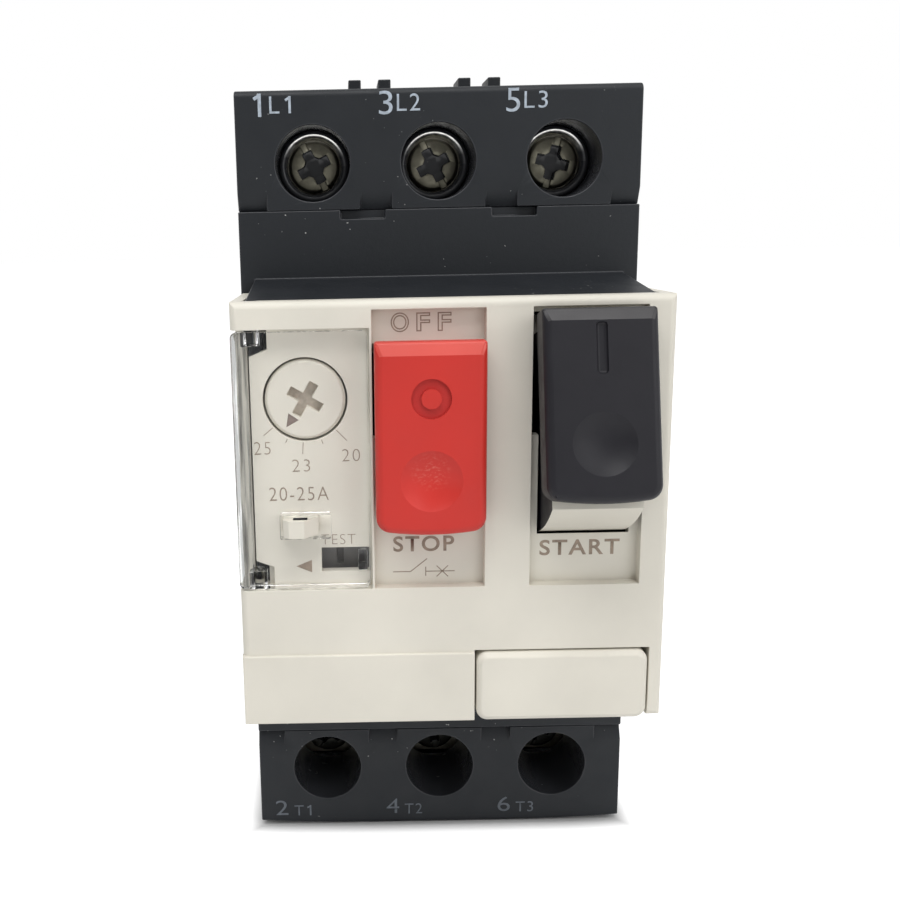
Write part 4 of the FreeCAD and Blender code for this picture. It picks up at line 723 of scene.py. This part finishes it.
class BREAKER_OT_shells(Operator):
    """Dress the black shells, the cream cover and its blank"""
    bl_idname = "breaker.shells"
    bl_label = "Shells"

    def execute(self, context):
        sizes = context.scene.breaker_sizes
        for node in ("rear_base", "mechanism_housing", "rail_clip"):
            dressed(node, sizes.shell_round, "black_housing", "black_edge")
        for side in SIDES:
            node = side + "_terminal_block"
            shell = merged_copy(node)
            if side == "line":
                self.trim_outer_ribs(shell, sizes)
            softened(shell, sizes.shell_round, "black_housing", "black_edge")
            self.gloss_bores(painted(shell, "black_bore"), side, sizes.hole / 2)
            fitted(shell, node)
        dressed("aux_blank", sizes.shell_round, "cream_plastic")
        cover = dressed("front_cover", sizes.fine_round, "cream_plastic")
        self.darken_seal_hole(painted(cover, "black_bore"), sizes)
        return {"FINISHED"}

    def trim_outer_ribs(self, shell, sizes):
        """Takes down the outermost ribs, which don't stand up in the view."""
        low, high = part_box("line_terminal_block")
        size = (2 * sizes.rib_reach, high.y - low.y, 2 * sizes.rib_trim)
        for x in (low.x, high.x):
            cut(shell, block(size, (x, (low.y + high.y) / 2, high.z)))

    def gloss_bores(self, shell, side, radius):
        """Gives the walls of the screwdriver holes their glossy finish."""
        for pole in POLES:
            low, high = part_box("%s_screw_%d" % (side, pole))
            axis = (low + high) / 2
            repaint(shell, 2, lambda centre, normal: abs(normal.y) < WALL_FACING
                    and off_axis(centre, axis) < radius)

    def darken_seal_hole(self, cover, sizes):
        """Paints shade on the walls of the seal lug's hole, which face its middle, with the black of the bores."""
        def on_wall(centre, normal):
            aside = centre - Vector(sizes.seal_place)
            inside = all(abs(part) < reach for part, reach in zip(aside, sizes.seal_reach))
            return inside and normal.dot(aside) < 0
        repaint(cover, 1, on_wall)


class BREAKER_OT_buttons(Operator):
    """Dress the buttons, with the sunk ring on STOP and the sunk bar on START"""
    bl_idname = "breaker.buttons"
    bl_label = "Buttons"

    # Rounding of the bar, by its width
    bar_round = 0.48
    bar_segments = 6

    def execute(self, context):
        sizes = context.scene.breaker_sizes
        self.stop_cap(sizes)
        self.start_cap(sizes)
        carrier = dressed("start_carrier", sizes.fine_round, "cream_plastic")
        # The carrier's flanks take the black of the button: painted shade beside the cap
        painted(carrier, "button_black")
        repaint(carrier, 1, lambda centre, normal: abs(normal.x) > SIDE_FACING)
        dressed("stop_carrier", sizes.fine_round, "red_plastic")
        return {"FINISHED"}

    def stop_cap(self, sizes):
        cap = painted(merged_copy("stop_cap"), "red_plastic", "red_edge", "red_sunk")
        low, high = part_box("stop_cap")
        self.round_edges(cap, sizes, high.z)
        middle = Vector(((low.x + high.x) / 2, low.y, high.z - sizes.ring_drop))
        ring = cylinder(sizes.ring_outer / 2, 2 * sizes.sunk, middle)
        core = cylinder(sizes.ring_inner / 2, 4 * sizes.sunk, middle)
        self.sink(cap, sizes, Vector((middle.x, low.y, low.z)), cut(ring, core))

        reach = sizes.ring_outer / 2 + sizes.fine_round
        lip, floor = low.y + sizes.sunk / 3, low.y + 1.5 * sizes.sunk
        # The ring's walls and floor take the darker red, painted shade in the sunk ring; the rest keeps the face's
        # finish
        for index, end in ((0, math.inf), (2, floor)):
            repaint(cap, index, lambda centre, normal: lip < centre.y < end
                    and off_axis(centre, middle) < reach)
        fitted(smoothed(cap, CAP_SMOOTH_ANGLE, flat_front=True), "stop_cap")

    def start_cap(self, sizes):
        """The bar is cut with the cap turned to its pressed place, where its face is upright."""
        cap = painted(merged_copy("start_cap"), "button_black", "button_edge")
        joint = JOINTS["start_press"]
        pin = Vector(joint["pos_m"])
        travel = math.radians(joint["range_deg"][1])
        turned(cap, travel, "X", pin)
        points = [vertex.co for vertex in cap.data.vertices]
        face = min(point.y for point in points)
        top = max(point.z for point in points)
        low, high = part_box("start_cap")
        middle = (low.x + high.x) / 2
        foot = Vector((middle, face, min(point.z for point in points)))
        self.round_edges(cap, sizes, top)
        bar = block((sizes.bar_wide, 2 * sizes.sunk, sizes.bar_long),
                    Vector((middle, face, top - sizes.bar_drop)))
        modified(bar, "BEVEL", width=self.bar_round * sizes.bar_wide, segments=self.bar_segments)
        self.sink(cap, sizes, foot, bar)
        smoothed(cap, CAP_SMOOTH_ANGLE, flat_front=True)
        fitted(turned(cap, -travel, "X", pin), "start_cap")

    def round_edges(self, cap, sizes, top):
        """Rounds a cap. The slope along its top gets a lighter finish, a painted highlight of the light from
        above.
        """
        rounded(cap, sizes.cap_round, CAP_SEGMENTS, sharper=CAP_EDGE_ANGLE)
        bottom = top - sizes.cap_slope
        repaint(cap, 1, lambda centre, normal: normal.z > SLOPE_FACING
                and normal.y < -SLOPE_FACING and centre.z > bottom)

    def sink(self, cap, sizes, foot, mark):
        """Cuts the mark and the thumb dimple, which lies above the cap's lowest point.

        The dimple takes away the coarser one of the CAD mesh. Both are cut at once,
        because a second cut through the faces that the first one leaves can fail.
        """
        half, deep = sizes.dimple / 2, sizes.dimple_deep
        radius = (half ** 2 + deep ** 2) / (2 * deep)
        ball = sphere(radius, foot + Vector((0, deep - radius, sizes.dimple_rise)))
        cut(cap, joined([ball, mark]))
        editing(cap)
        bpy.ops.mesh.dissolve_degenerate(threshold=MERGE_GAP)
        edited()


class BREAKER_OT_dial(Operator):
    """Dress the setting dial with its sunk cross and arrow, and the test slider"""
    bl_idname = "breaker.dial"
    bl_label = "Dial and test slider"

    def execute(self, context):
        sizes = context.scene.breaker_sizes
        dial = merged_copy("setting_dial")
        centre = Vector(JOINTS["dial_turn"]["pos_m"])
        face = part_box("setting_dial")[0].y
        painted(dial, "cream_plastic", "dial_mark", "dial_arrow")
        cut(rounded(dial, sizes.fine_round), self.arrow(sizes, centre, face))
        smoothed(dial, flat_front=True)
        floor = face + sizes.arrow_deep / 2
        for index, nearest in ((1, 0), (2, sizes.arrow_base)):
            repaint(dial, index, lambda place, normal: normal.y < -FLOOR_FACING and place.y > floor
                    and nearest <= off_axis(place, centre) < sizes.arrow_tip)
        fitted(dial, "setting_dial")
        dressed("test_slider", sizes.fine_round, "grey_plastic")
        return {"FINISHED"}

    def arrow(self, sizes, centre, face):
        """Three-sided bar, set upright above the dial's centre and then turned about it."""
        reach = sizes.arrow_tip - sizes.arrow_base
        arrow = cylinder(2 * reach / 3, 2 * sizes.arrow_deep, facets=3)
        tip = max(vertex.co.z for vertex in arrow.data.vertices)
        place = (centre.x, face, centre.z + sizes.arrow_tip - tip)
        placed(arrow, place, (sizes.arrow_wide / (reach * 2 / math.sqrt(3)), 1, 1))
        return turned(arrow, math.pi / 2 - sizes.arrow_turn, "Y", centre)


class BREAKER_OT_clear_cover(Operator):
    """Dress the clear sealing cover: a see-through face and glassy edges, wall and latch"""
    bl_idname = "breaker.clear_cover"
    bl_label = "Clear cover"

    def execute(self, context):
        sizes = context.scene.breaker_sizes
        cover = merged_copy("sealing_cover")
        low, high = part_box("sealing_cover")
        band = low.x + sizes.clear_band
        editing(cover)
        bpy.ops.mesh.bisect(plane_co=(band, 0, 0), plane_no=(1, 0, 0))
        edited()
        painted(softened(cover, sizes.fine_round, "clear_plastic"), "clear_edge")

        def glassy(centre, normal):
            behind = centre.y - low.y
            depth = min(abs(behind), abs(behind - sizes.clear_sheet))
            broad = abs(normal.y) > SHEET_FACING and depth < sizes.fine_round / 2
            return not broad or centre.x <= band
        repaint(cover, 1, glassy)
        fitted(cover, "sealing_cover")
        return {"FINISHED"}


class BREAKER_OT_screws(Operator):
    """Model one terminal screw with its thread and drive, and copy it to the six clamps"""
    bl_idname = "breaker.screws"
    bl_label = "Terminal screws"

    # Turn of each head in degrees
    head_turns = {("line", 1): -27, ("line", 2): -27, ("line", 3): 14,
                  ("load", 1): 35, ("load", 2): -8, ("load", 3): 22}

    # Section of the screw
    shank = 2.0 * MM
    flat_share = 0.55
    crown = 0.12 * MM
    rim = 0.35 * MM
    chamfer = 0.2 * MM
    neck = 0.6 * MM
    tip = 0.5 * MM
    washer_gap = 0.1 * MM

    # The slot's reach in head radii, and where the painted shade in the recess starts and ends
    slot_reach = 2.2
    dark_from = 0.15 * MM
    dark_below = 0.1 * MM
    dark_beyond = 0.05 * MM

    # The collar's stretch along its depth, its part behind the head's face, and its share with the painted
    # highlight
    collar_stretch = 1.7
    collar_behind = 0.3 * MM
    lip_share = 0.45

    def execute(self, context):
        sizes = context.scene.breaker_sizes
        low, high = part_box("line_screw_1")
        middle = (low + high) / 2
        face = Vector((middle.x, low.y, middle.z))
        head = (high.x - low.x) / 2
        head_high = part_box("line_washer_1")[0].y - low.y - self.washer_gap
        section = self.section(sizes, head, head_high, high.y - low.y)
        screw = self.lathed(section, face)
        self.cut_drive(screw, sizes, face, head)
        collar = self.collar(sizes, face, head)
        for side in SIDES:
            for pole in POLES:
                node = "%s_screw_%d" % (side, pole)
                low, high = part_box(node)
                centre = (low + high) / 2
                copy = placed(copied(screw, "dressed_" + node), centre - middle)
                turned(copy, math.radians(self.head_turns[side, pole]), "Y", centre)
                fitted(copy, node)
                if side == "line":
                    ring = placed(copied(collar, "collar_%d" % pole), centre - middle)
                    riding(ring, "line_terminal_block")
                else:
                    # Painted shade: the load side's screws get the darker copy of the plating
                    copy.data.materials[0] = finish("dark_screw")
        for pattern in (screw, collar):
            bpy.data.objects.remove(pattern)
        return {"FINISHED"}

    def section(self, sizes, head, head_high, reach):
        """Points of half the screw's section, as (radius, distance behind the head's face)."""
        points = [(0, 0), (self.flat_share * head, 0), (head - self.rim, self.crown),
                  (head, self.crown + self.rim), (head, head_high - self.chamfer),
                  (head - self.chamfer, head_high), (self.shank, head_high)]
        behind = head_high + self.neck
        while behind + sizes.thread_pitch < reach:
            points.append((self.shank, behind))
            points.append((self.shank - sizes.thread_depth, behind + sizes.thread_pitch / 2))
            behind += sizes.thread_pitch
        return points + [(self.shank, behind), (self.shank - self.tip, reach), (0, reach)]

    def lathed(self, points, face):
        """Draws half a section from its first point on, and spins it about the screw's axis."""
        screw = added("plane", size=MM, location=face)
        editing(screw)
        bpy.ops.mesh.merge(type="CENTER")
        for last, point in zip(points, points[1:]):
            step = Vector(point) - Vector(last)
            bpy.ops.mesh.extrude_vertices_move(
                TRANSFORM_OT_translate={"value": (step.x, step.y, 0)})
        bpy.ops.mesh.select_all(action="SELECT")
        bpy.ops.mesh.spin(steps=FACETS, angle=2 * math.pi, center=face, axis=BACKWARDS)
        bpy.ops.mesh.select_all(action="SELECT")
        bpy.ops.mesh.remove_doubles(threshold=MERGE_GAP)
        bpy.ops.mesh.normals_make_consistent(inside=False)
        edited()
        return screw

    def cut_drive(self, screw, sizes, face, head):
        """Cuts the slot and the cross recess with its wider middle, which gets painted shade inside."""
        cut(screw, block((sizes.slot_wide, 2 * sizes.slot_deep, self.slot_reach * head), face))
        arm = (sizes.cross_wide, 2 * sizes.cross_deep, sizes.cross_long)
        core = (sizes.cross_core, 2 * sizes.cross_deep, sizes.cross_core)
        for size, turn in ((arm, 0), (arm, math.pi / 2), (core, math.pi / 4)):
            cut(screw, turned(block(size, face), turn, "Y", face))
        painted(softened(screw, sizes.fine_round, "dull_screw"), "black_bore")
        floor = sizes.cross_deep + self.dark_below
        reach = sizes.cross_long / 2 + self.dark_beyond
        repaint(screw, 1, lambda centre, normal: self.dark_from < centre.y - face.y < floor
                and off_axis(centre, face) < reach)

    def collar(self, sizes, face, head):
        """Black collar in the hole, which hides the washer: a dark ring standing in for the shade there. Its upper
        lip carries a painted highlight.
        """
        inner = head + sizes.collar_gap
        outer = sizes.hole / 2
        wide = outer - inner
        ring = added("torus", major_radius=(inner + outer) / 2, minor_radius=wide / 2,
                     major_segments=FACETS, minor_segments=20, location=face, rotation=UP_TO_FRONT)
        editing(ring)
        bpy.ops.transform.resize(value=(1, self.collar_stretch, 1), center_override=face)
        edited()
        behind = block((4 * outer, 2 * outer, 4 * outer),
                       face + Vector((0, outer + self.collar_behind, 0)))
        smoothed(painted(cut(ring, behind), "black_bore", "rubbed_lip"))
        reach = inner + self.lip_share * wide
        # The upper inner part of the collar gets the painted highlight
        repaint(ring, 1, lambda centre, normal: centre.z > face.z
                and off_axis(centre, face) < reach)
        return ring


class BREAKER_OT_printing(Operator):
    """Print the words, numbers and signs on their carriers"""
    bl_idname = "breaker.printing"
    bl_label = "Printing"

    # Name, words, centre x and z, width and height in mm, weight of the strokes
    panel_words = (
        ("dial_25", "25", -19.55, 7.4, 1.7, 1.35, -0.018),
        ("dial_23", "23", -15.6, 5.5, 1.85, 1.3, -0.018),
        ("dial_20", "20", -10.4, 6.5, 1.85, 1.3, -0.018),
        ("range", "20-25A", -15.9, 2.5, 6.2, 1.45, -0.01),
        ("test", "TEST", -11.9, -2.5, 3.6, 1.1, -0.02),
        ("off_1", "O", -5.25, 20.1, 1.85, 1.98, 0.03),
        ("off_2", "F", -2.9, 20.1, 1.4, 1.9, 0.03),
        ("off_3", "F", -0.75, 20.1, 1.4, 1.9, 0.03),
        ("stop", "STOP", -2.95, -3.1, 6.4, 1.7, 0.018),
        ("start", "START", 13.4, -3.8, 8.4, 1.7, 0.018),
    )

    # Side, pole, words, distance from the pole's middle, height, width and height in mm
    terminal_words = (
        ("line", 1, "1", -6.0, 42.9, 1.0, 2.45),
        ("line", 1, "L", -4.05, 42.9, 1.1, 1.8),
        ("line", 1, "1", -2.6, 42.9, 0.75, 1.8),
        ("line", 2, "3", -5.8, 42.9, 1.5, 2.5),
        ("line", 2, "L2", -3.3, 42.9, 2.55, 1.8),
        ("line", 3, "5", -5.8, 42.9, 1.5, 2.5),
        ("line", 3, "L3", -3.3, 42.9, 2.55, 1.8),
        ("load", 1, "2", -5.9, -42.0, 1.55, 2.0),
        ("load", 1, "T", -3.75, -42.4, 1.15, 1.4),
        ("load", 1, "1", -2.5, -42.4, 0.6, 1.4),
        ("load", 2, "4", -5.9, -42.0, 1.6, 2.0),
        ("load", 2, "T2", -3.3, -42.4, 2.2, 1.4),
        ("load", 3, "6", -5.9, -42.0, 1.55, 2.0),
        ("load", 3, "T3", -3.3, -42.4, 2.2, 1.4),
    )
    terminal_weight = -0.004
    # The load side's numbers take the darker ink, painted shade on the lower block
    terminal_inks = {"line": "block_ink", "load": "faint_ink"}
    letter_space = 1.15
    curve_steps = 6

    # Digit one: its stroke and the drop of its flag by its height, the flag's start by its stroke
    one_stroke, flag_drop, flag_start = 0.15, 0.24, 0.6

    # Direction in degrees, start and end in mm from the dial's centre
    ticks = ((220, 4.45, 5.7), (244.5, 4.5, 4.95), (266, 4.45, 5.7), (290.5, 4.5, 4.95),
             (314, 4.45, 6.05))
    tick_stroke = 0.6

    # Breaker sign, an open contact with its trip release: its left end and its lines from there
    sign_place = (-6.2, -6.15)
    sign = (((0, 0), (1.85, 0)), ((1.85, 0), (3.6, 1.4)), ((3.45, -0.5), (3.45, 0.5)),
            ((3.45, 0), (6.5, 0)), ((4.6, -0.6), (5.8, 0.6)), ((4.6, 0.6), (5.8, -0.6)))
    sign_stroke = 0.75

    # Arrow beside the test slider: its tip, the radius through its corners, how far behind its tip
    # it looks for its carrier, and its flattening
    arrow_x, arrow_z = -16.4 * MM, -5.4 * MM
    arrow_radius = 1.1 * MM
    arrow_inside = 0.8 * MM
    arrow_flat = 0.72

    def execute(self, context):
        sizes = context.scene.breaker_sizes
        for name, words, x, z, wide, high, weight in self.panel_words:
            piece = self.words(words, x * MM, z * MM, (wide * MM, high * MM), weight, "front_cover")
            self.inked(piece, "print_" + name)
            if name.startswith("off"):
                self.outlined(piece, sizes.stroke)
        self.print_ticks(sizes)
        self.print_sign(sizes)
        self.print_test_arrow(sizes)
        self.print_terminals()
        return {"FINISHED"}

    def print_ticks(self, sizes):
        centre = Vector(JOINTS["dial_turn"]["pos_m"]) / MM
        ticks = []
        for degrees, *reaches in self.ticks:
            aim = Vector((math.cos(math.radians(degrees)), math.sin(math.radians(degrees))))
            ends = [Vector((centre.x, centre.z)) + aim * reach for reach in reaches]
            ticks.append(self.line(*ends, "front_cover", self.tick_stroke * sizes.stroke))
        self.inked(joined(ticks), "print_ticks")

    def print_sign(self, sizes):
        left, base = self.sign_place
        lines = []
        for stroke in self.sign:
            ends = [(left + x, base + z) for x, z in stroke]
            lines.append(self.line(*ends, "front_cover", self.sign_stroke * sizes.stroke))
        self.inked(joined(lines), "print_sign")

    def print_test_arrow(self, sizes):
        depth = carrier_face("front_cover", self.arrow_x + self.arrow_inside, self.arrow_z)
        arrow = cylinder(self.arrow_radius, sizes.ink_height, facets=3)
        turned(arrow, -math.pi / 2, "Y", (0, 0, 0))
        place = (self.arrow_x + self.arrow_radius, depth - sizes.ink_height / 2, self.arrow_z)
        self.inked(placed(arrow, place, (1, 1, self.arrow_flat)), "print_test_arrow")

    def print_terminals(self):
        for index, (side, pole, words, aside, z, wide, high) in enumerate(self.terminal_words):
            low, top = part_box("%s_screw_%d" % (side, pole))
            x = (low.x + top.x) / 2 + aside * MM
            node = side + "_terminal_block"
            if words == "1":
                piece = self.digit_one(x / MM, z, wide, high, node)
            else:
                size = (wide * MM, high * MM)
                piece = self.words(words, x, z * MM, size, self.terminal_weight, node)
            self.inked(piece, "print_%s_mark_%d" % (side, index), node, self.terminal_inks[side])

    def words(self, words, x, z, size, weight, node):
        """Text made a mesh at its real size, then set on the carrier."""
        bpy.ops.object.select_all(action="DESELECT")
        bpy.ops.object.text_add()
        text = bpy.context.object.data
        text.body = words
        text.align_x = text.align_y = "CENTER"
        text.offset = weight
        text.space_character = self.letter_space
        text.resolution_u = self.curve_steps
        bpy.ops.object.convert(target="MESH")
        piece = bpy.context.object
        points = [vertex.co.copy() for vertex in piece.data.vertices]
        low = Vector((min(p.x for p in points), min(p.y for p in points), 0))
        high = Vector((max(p.x for p in points), max(p.y for p in points), 0))
        placed(piece, -(low + high) / 2)
        piece.rotation_euler = UP_TO_FRONT
        off = bpy.context.scene.breaker_sizes.ink_height
        return placed(piece, (x, carrier_face(node, x, z) - off, z),
                      (size[0] / (high.x - low.x), size[1] / (high.y - low.y), 1))

    def digit_one(self, x, z, wide, high, node):
        """Digit one with a flag, which the plain font lacks. Place and size in mm."""
        stroke = self.one_stroke * high
        stem = x + (wide - stroke) / 2
        top = z + high / 2
        upright = ((stem, z - high / 2), (stem, top))
        flag = ((stem, top - self.flag_start * stroke),
                (stem + stroke - wide, top - self.flag_drop * high))
        return joined([self.line(*ends, node, stroke * MM) for ends in (upright, flag)])

    def line(self, start, end, node, width):
        """Printed line between two points of the front, in mm."""
        high = bpy.context.scene.breaker_sizes.ink_height
        first, last = (Vector((x, 0, z)) * MM for x, z in (start, end))
        middle = (first + last) / 2
        run = last - first
        place = (middle.x, carrier_face(node, middle.x, middle.z) - high / 2, middle.z)
        bar = block((run.length, high, width), place)
        return turned(bar, math.atan2(-run.z, run.x), "Y", place)

    def outlined(self, piece, stroke):
        """Leaves only the outline of printed letters."""
        editing(piece)
        bpy.ops.mesh.remove_doubles(threshold=MERGE_GAP)
        bpy.ops.mesh.inset(thickness=stroke, depth=0, use_boundary=True, use_even_offset=True)
        bpy.ops.mesh.delete(type="FACE")
        edited()

    def inked(self, piece, name, node="front_cover", ink="panel_ink"):
        piece.name = name
        piece.data.name = name
        piece.data.materials.clear()
        riding(painted(piece, ink), node)


# Stage


def surroundings(stage):
    """White backdrop in view. Reflections show it behind and above the object, and a dimmer
    room in front."""
    world = bpy.data.worlds.new("surroundings")
    world.use_nodes = True
    nodes = Nodes(world.node_tree)
    camera, sharp = nodes.rays()
    aim = nodes.add("SeparateXYZ", {0: nodes.add("TexCoord").outputs["Generated"]}).outputs
    behind = nodes.ranged(aim["Y"], low=-0.6, high=0.5)
    above = nodes.ranged(aim["Z"], low=0.2, high=0.9)
    aside = nodes.ranged(aim["X"], low=0.0, high=0.6)
    bright = nodes.maths("MAXIMUM", nodes.maths("MAXIMUM", behind, above), aside)
    shown = nodes.ranged(bright, low=0, high=1, to_low=stage.room)
    lit = nodes.ranged(aim["Z"], low=-0.5, high=0.8,
                       to_low=0.6 * stage.ambient, to_high=1.4 * stage.ambient)
    strength = nodes.chosen(camera, nodes.chosen(sharp, lit, shown), 1.0)
    nodes.wire(nodes.tree.nodes["Background"], {"Color": (1, 1, 1, 1), "Strength": strength})
    return world


def pale_floor(lift):
    """Floor whose own light, there for the white background, fades out under the object and within 2 mm of its
    foot, a painted shadow there.
    """
    nodes = MaterialNodes("pale_floor")
    low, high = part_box("load_terminal_block")
    high.y = cad_box[1][1]
    offset = nodes.vectors("SUBTRACT", nodes.place, (low + high) / 2)
    beyond = nodes.vectors("SUBTRACT", nodes.vectors("ABSOLUTE", offset), (high - low) / 2)
    apart = nodes.add("SeparateXYZ", {0: beyond}).outputs
    gap = nodes.maths("MAXIMUM", apart["X"], apart["Y"])
    glow = nodes.ranged(gap, low=0.0, high=2 * MM, to_high=lift)
    tone = nodes.mottle(scale=3, detail=2, low=0.3, high=0.7)
    return nodes.shaded({
        "Base Color": nodes.mixed(tone, (0.80, 0.80, 0.80, 1), (0.82, 0.82, 0.82, 1)),
        "Roughness": 0.9,
        "Specular IOR Level": 0.1,
        "Emission Color": (1, 1, 1, 1),
        "Emission Strength": nodes.maths("MULTIPLY", nodes.maths("MAXIMUM", *nodes.rays()), glow),
    })


class BREAKER_OT_stage(Operator):
    """Set the pale floor, the soft lamps and the camera"""
    bl_idname = "breaker.stage"
    bl_label = "Stage"

    floor_radius = 3.0
    floor_facets = 96

    # Lamp, its power in BreakerStage, place and width
    lamps = (
        ("key_lamp", "key", (-0.25, -0.38, 0.52), 0.30),
        ("fill_lamp", "fill", (0.42, -0.46, 0.30), 0.50),
        ("top_lamp", "top", (0.02, -0.32, 0.58), 0.34),
    )
    lamp_target = Vector((0, -0.05, 0))
    nearest_view = 0.01

    def execute(self, context):
        stage = context.scene.breaker_stage
        context.scene.view_settings.view_transform = "Standard"
        self.floor(stage.floor_lift)
        context.scene.world = surroundings(stage)
        for name, power, place, size in self.lamps:
            self.lamp(name, getattr(stage, power), place, size)
        self.camera(context.scene, stage)
        return {"FINISHED"}

    def floor(self, lift):
        floor = added("circle", vertices=self.floor_facets, radius=self.floor_radius,
                      fill_type="NGON", location=(0, 0, cad_box[0][2]))
        floor.name = "floor"
        floor.data.materials.append(pale_floor(lift))

    def lamp(self, name, power, place, size):
        aim = (self.lamp_target - Vector(place)).to_track_quat("-Z", "Y").to_euler()
        bpy.ops.object.light_add(type="AREA", location=place, rotation=aim)
        lamp = bpy.context.object
        lamp.name = name
        lamp.data.shape = "DISK"
        lamp.data.size = size
        lamp.data.energy = power

    def camera(self, scene, stage):
        bpy.ops.object.camera_add()
        scene.camera = camera = bpy.context.object
        camera.data.sensor_width = stage.film
        camera.data.lens = stage.focal
        camera.data.shift_x = stage.shift
        camera.data.clip_start = self.nearest_view
        yaw, pitch, roll = stage.camera_yaw, stage.camera_pitch, stage.camera_roll
        ahead = Vector((math.sin(yaw) * math.cos(pitch), math.cos(yaw) * math.cos(pitch),
                        -math.sin(pitch)))
        level = Vector((math.cos(yaw), -math.sin(yaw), 0))
        upward = level.cross(ahead)
        right = level * math.cos(roll) + upward * math.sin(roll)
        up = upward * math.cos(roll) - level * math.sin(roll)
        axes = Matrix((right, up, -ahead)).transposed().to_4x4()
        camera.matrix_world = Matrix.Translation(stage.camera_place) @ axes


class BREAKER_PT_panel(Panel):
    bl_idname = "BREAKER_PT_panel"
    bl_label = "Circuit breaker"
    bl_space_type = "VIEW_3D"
    bl_region_type = "UI"
    bl_category = "Breaker"

    def draw(self, context):
        for operator in OPERATORS:
            self.layout.operator(operator.bl_idname)
        for name, group in GROUPS.items():
            box = self.layout.box()
            for value in group.__annotations__:
                box.prop(getattr(context.scene, name), value)


GROUPS = {
    "breaker_finish": BreakerFinish,
    "breaker_sizes": BreakerSizes,
    "breaker_stage": BreakerStage,
}
OPERATORS = (
    BREAKER_OT_inner_works,
    BREAKER_OT_springs,
    BREAKER_OT_shells,
    BREAKER_OT_buttons,
    BREAKER_OT_dial,
    BREAKER_OT_clear_cover,
    BREAKER_OT_screws,
    BREAKER_OT_printing,
    BREAKER_OT_stage,
)


def register():
    for group in (*GROUPS.values(), *OPERATORS, BREAKER_PT_panel):
        bpy.utils.register_class(group)
    for name, group in GROUPS.items():
        setattr(bpy.types.Scene, name, PointerProperty(type=group))


def unregister():
    for name in GROUPS:
        delattr(bpy.types.Scene, name)
    for group in (BREAKER_PT_panel, *reversed(OPERATORS), *GROUPS.values()):
        bpy.utils.unregister_class(group)


def main():
    register()
    for operator in OPERATORS:
        group, name = operator.bl_idname.split(".")
        getattr(getattr(bpy.ops, group), name)()


if __name__ == "__main__":
    main()
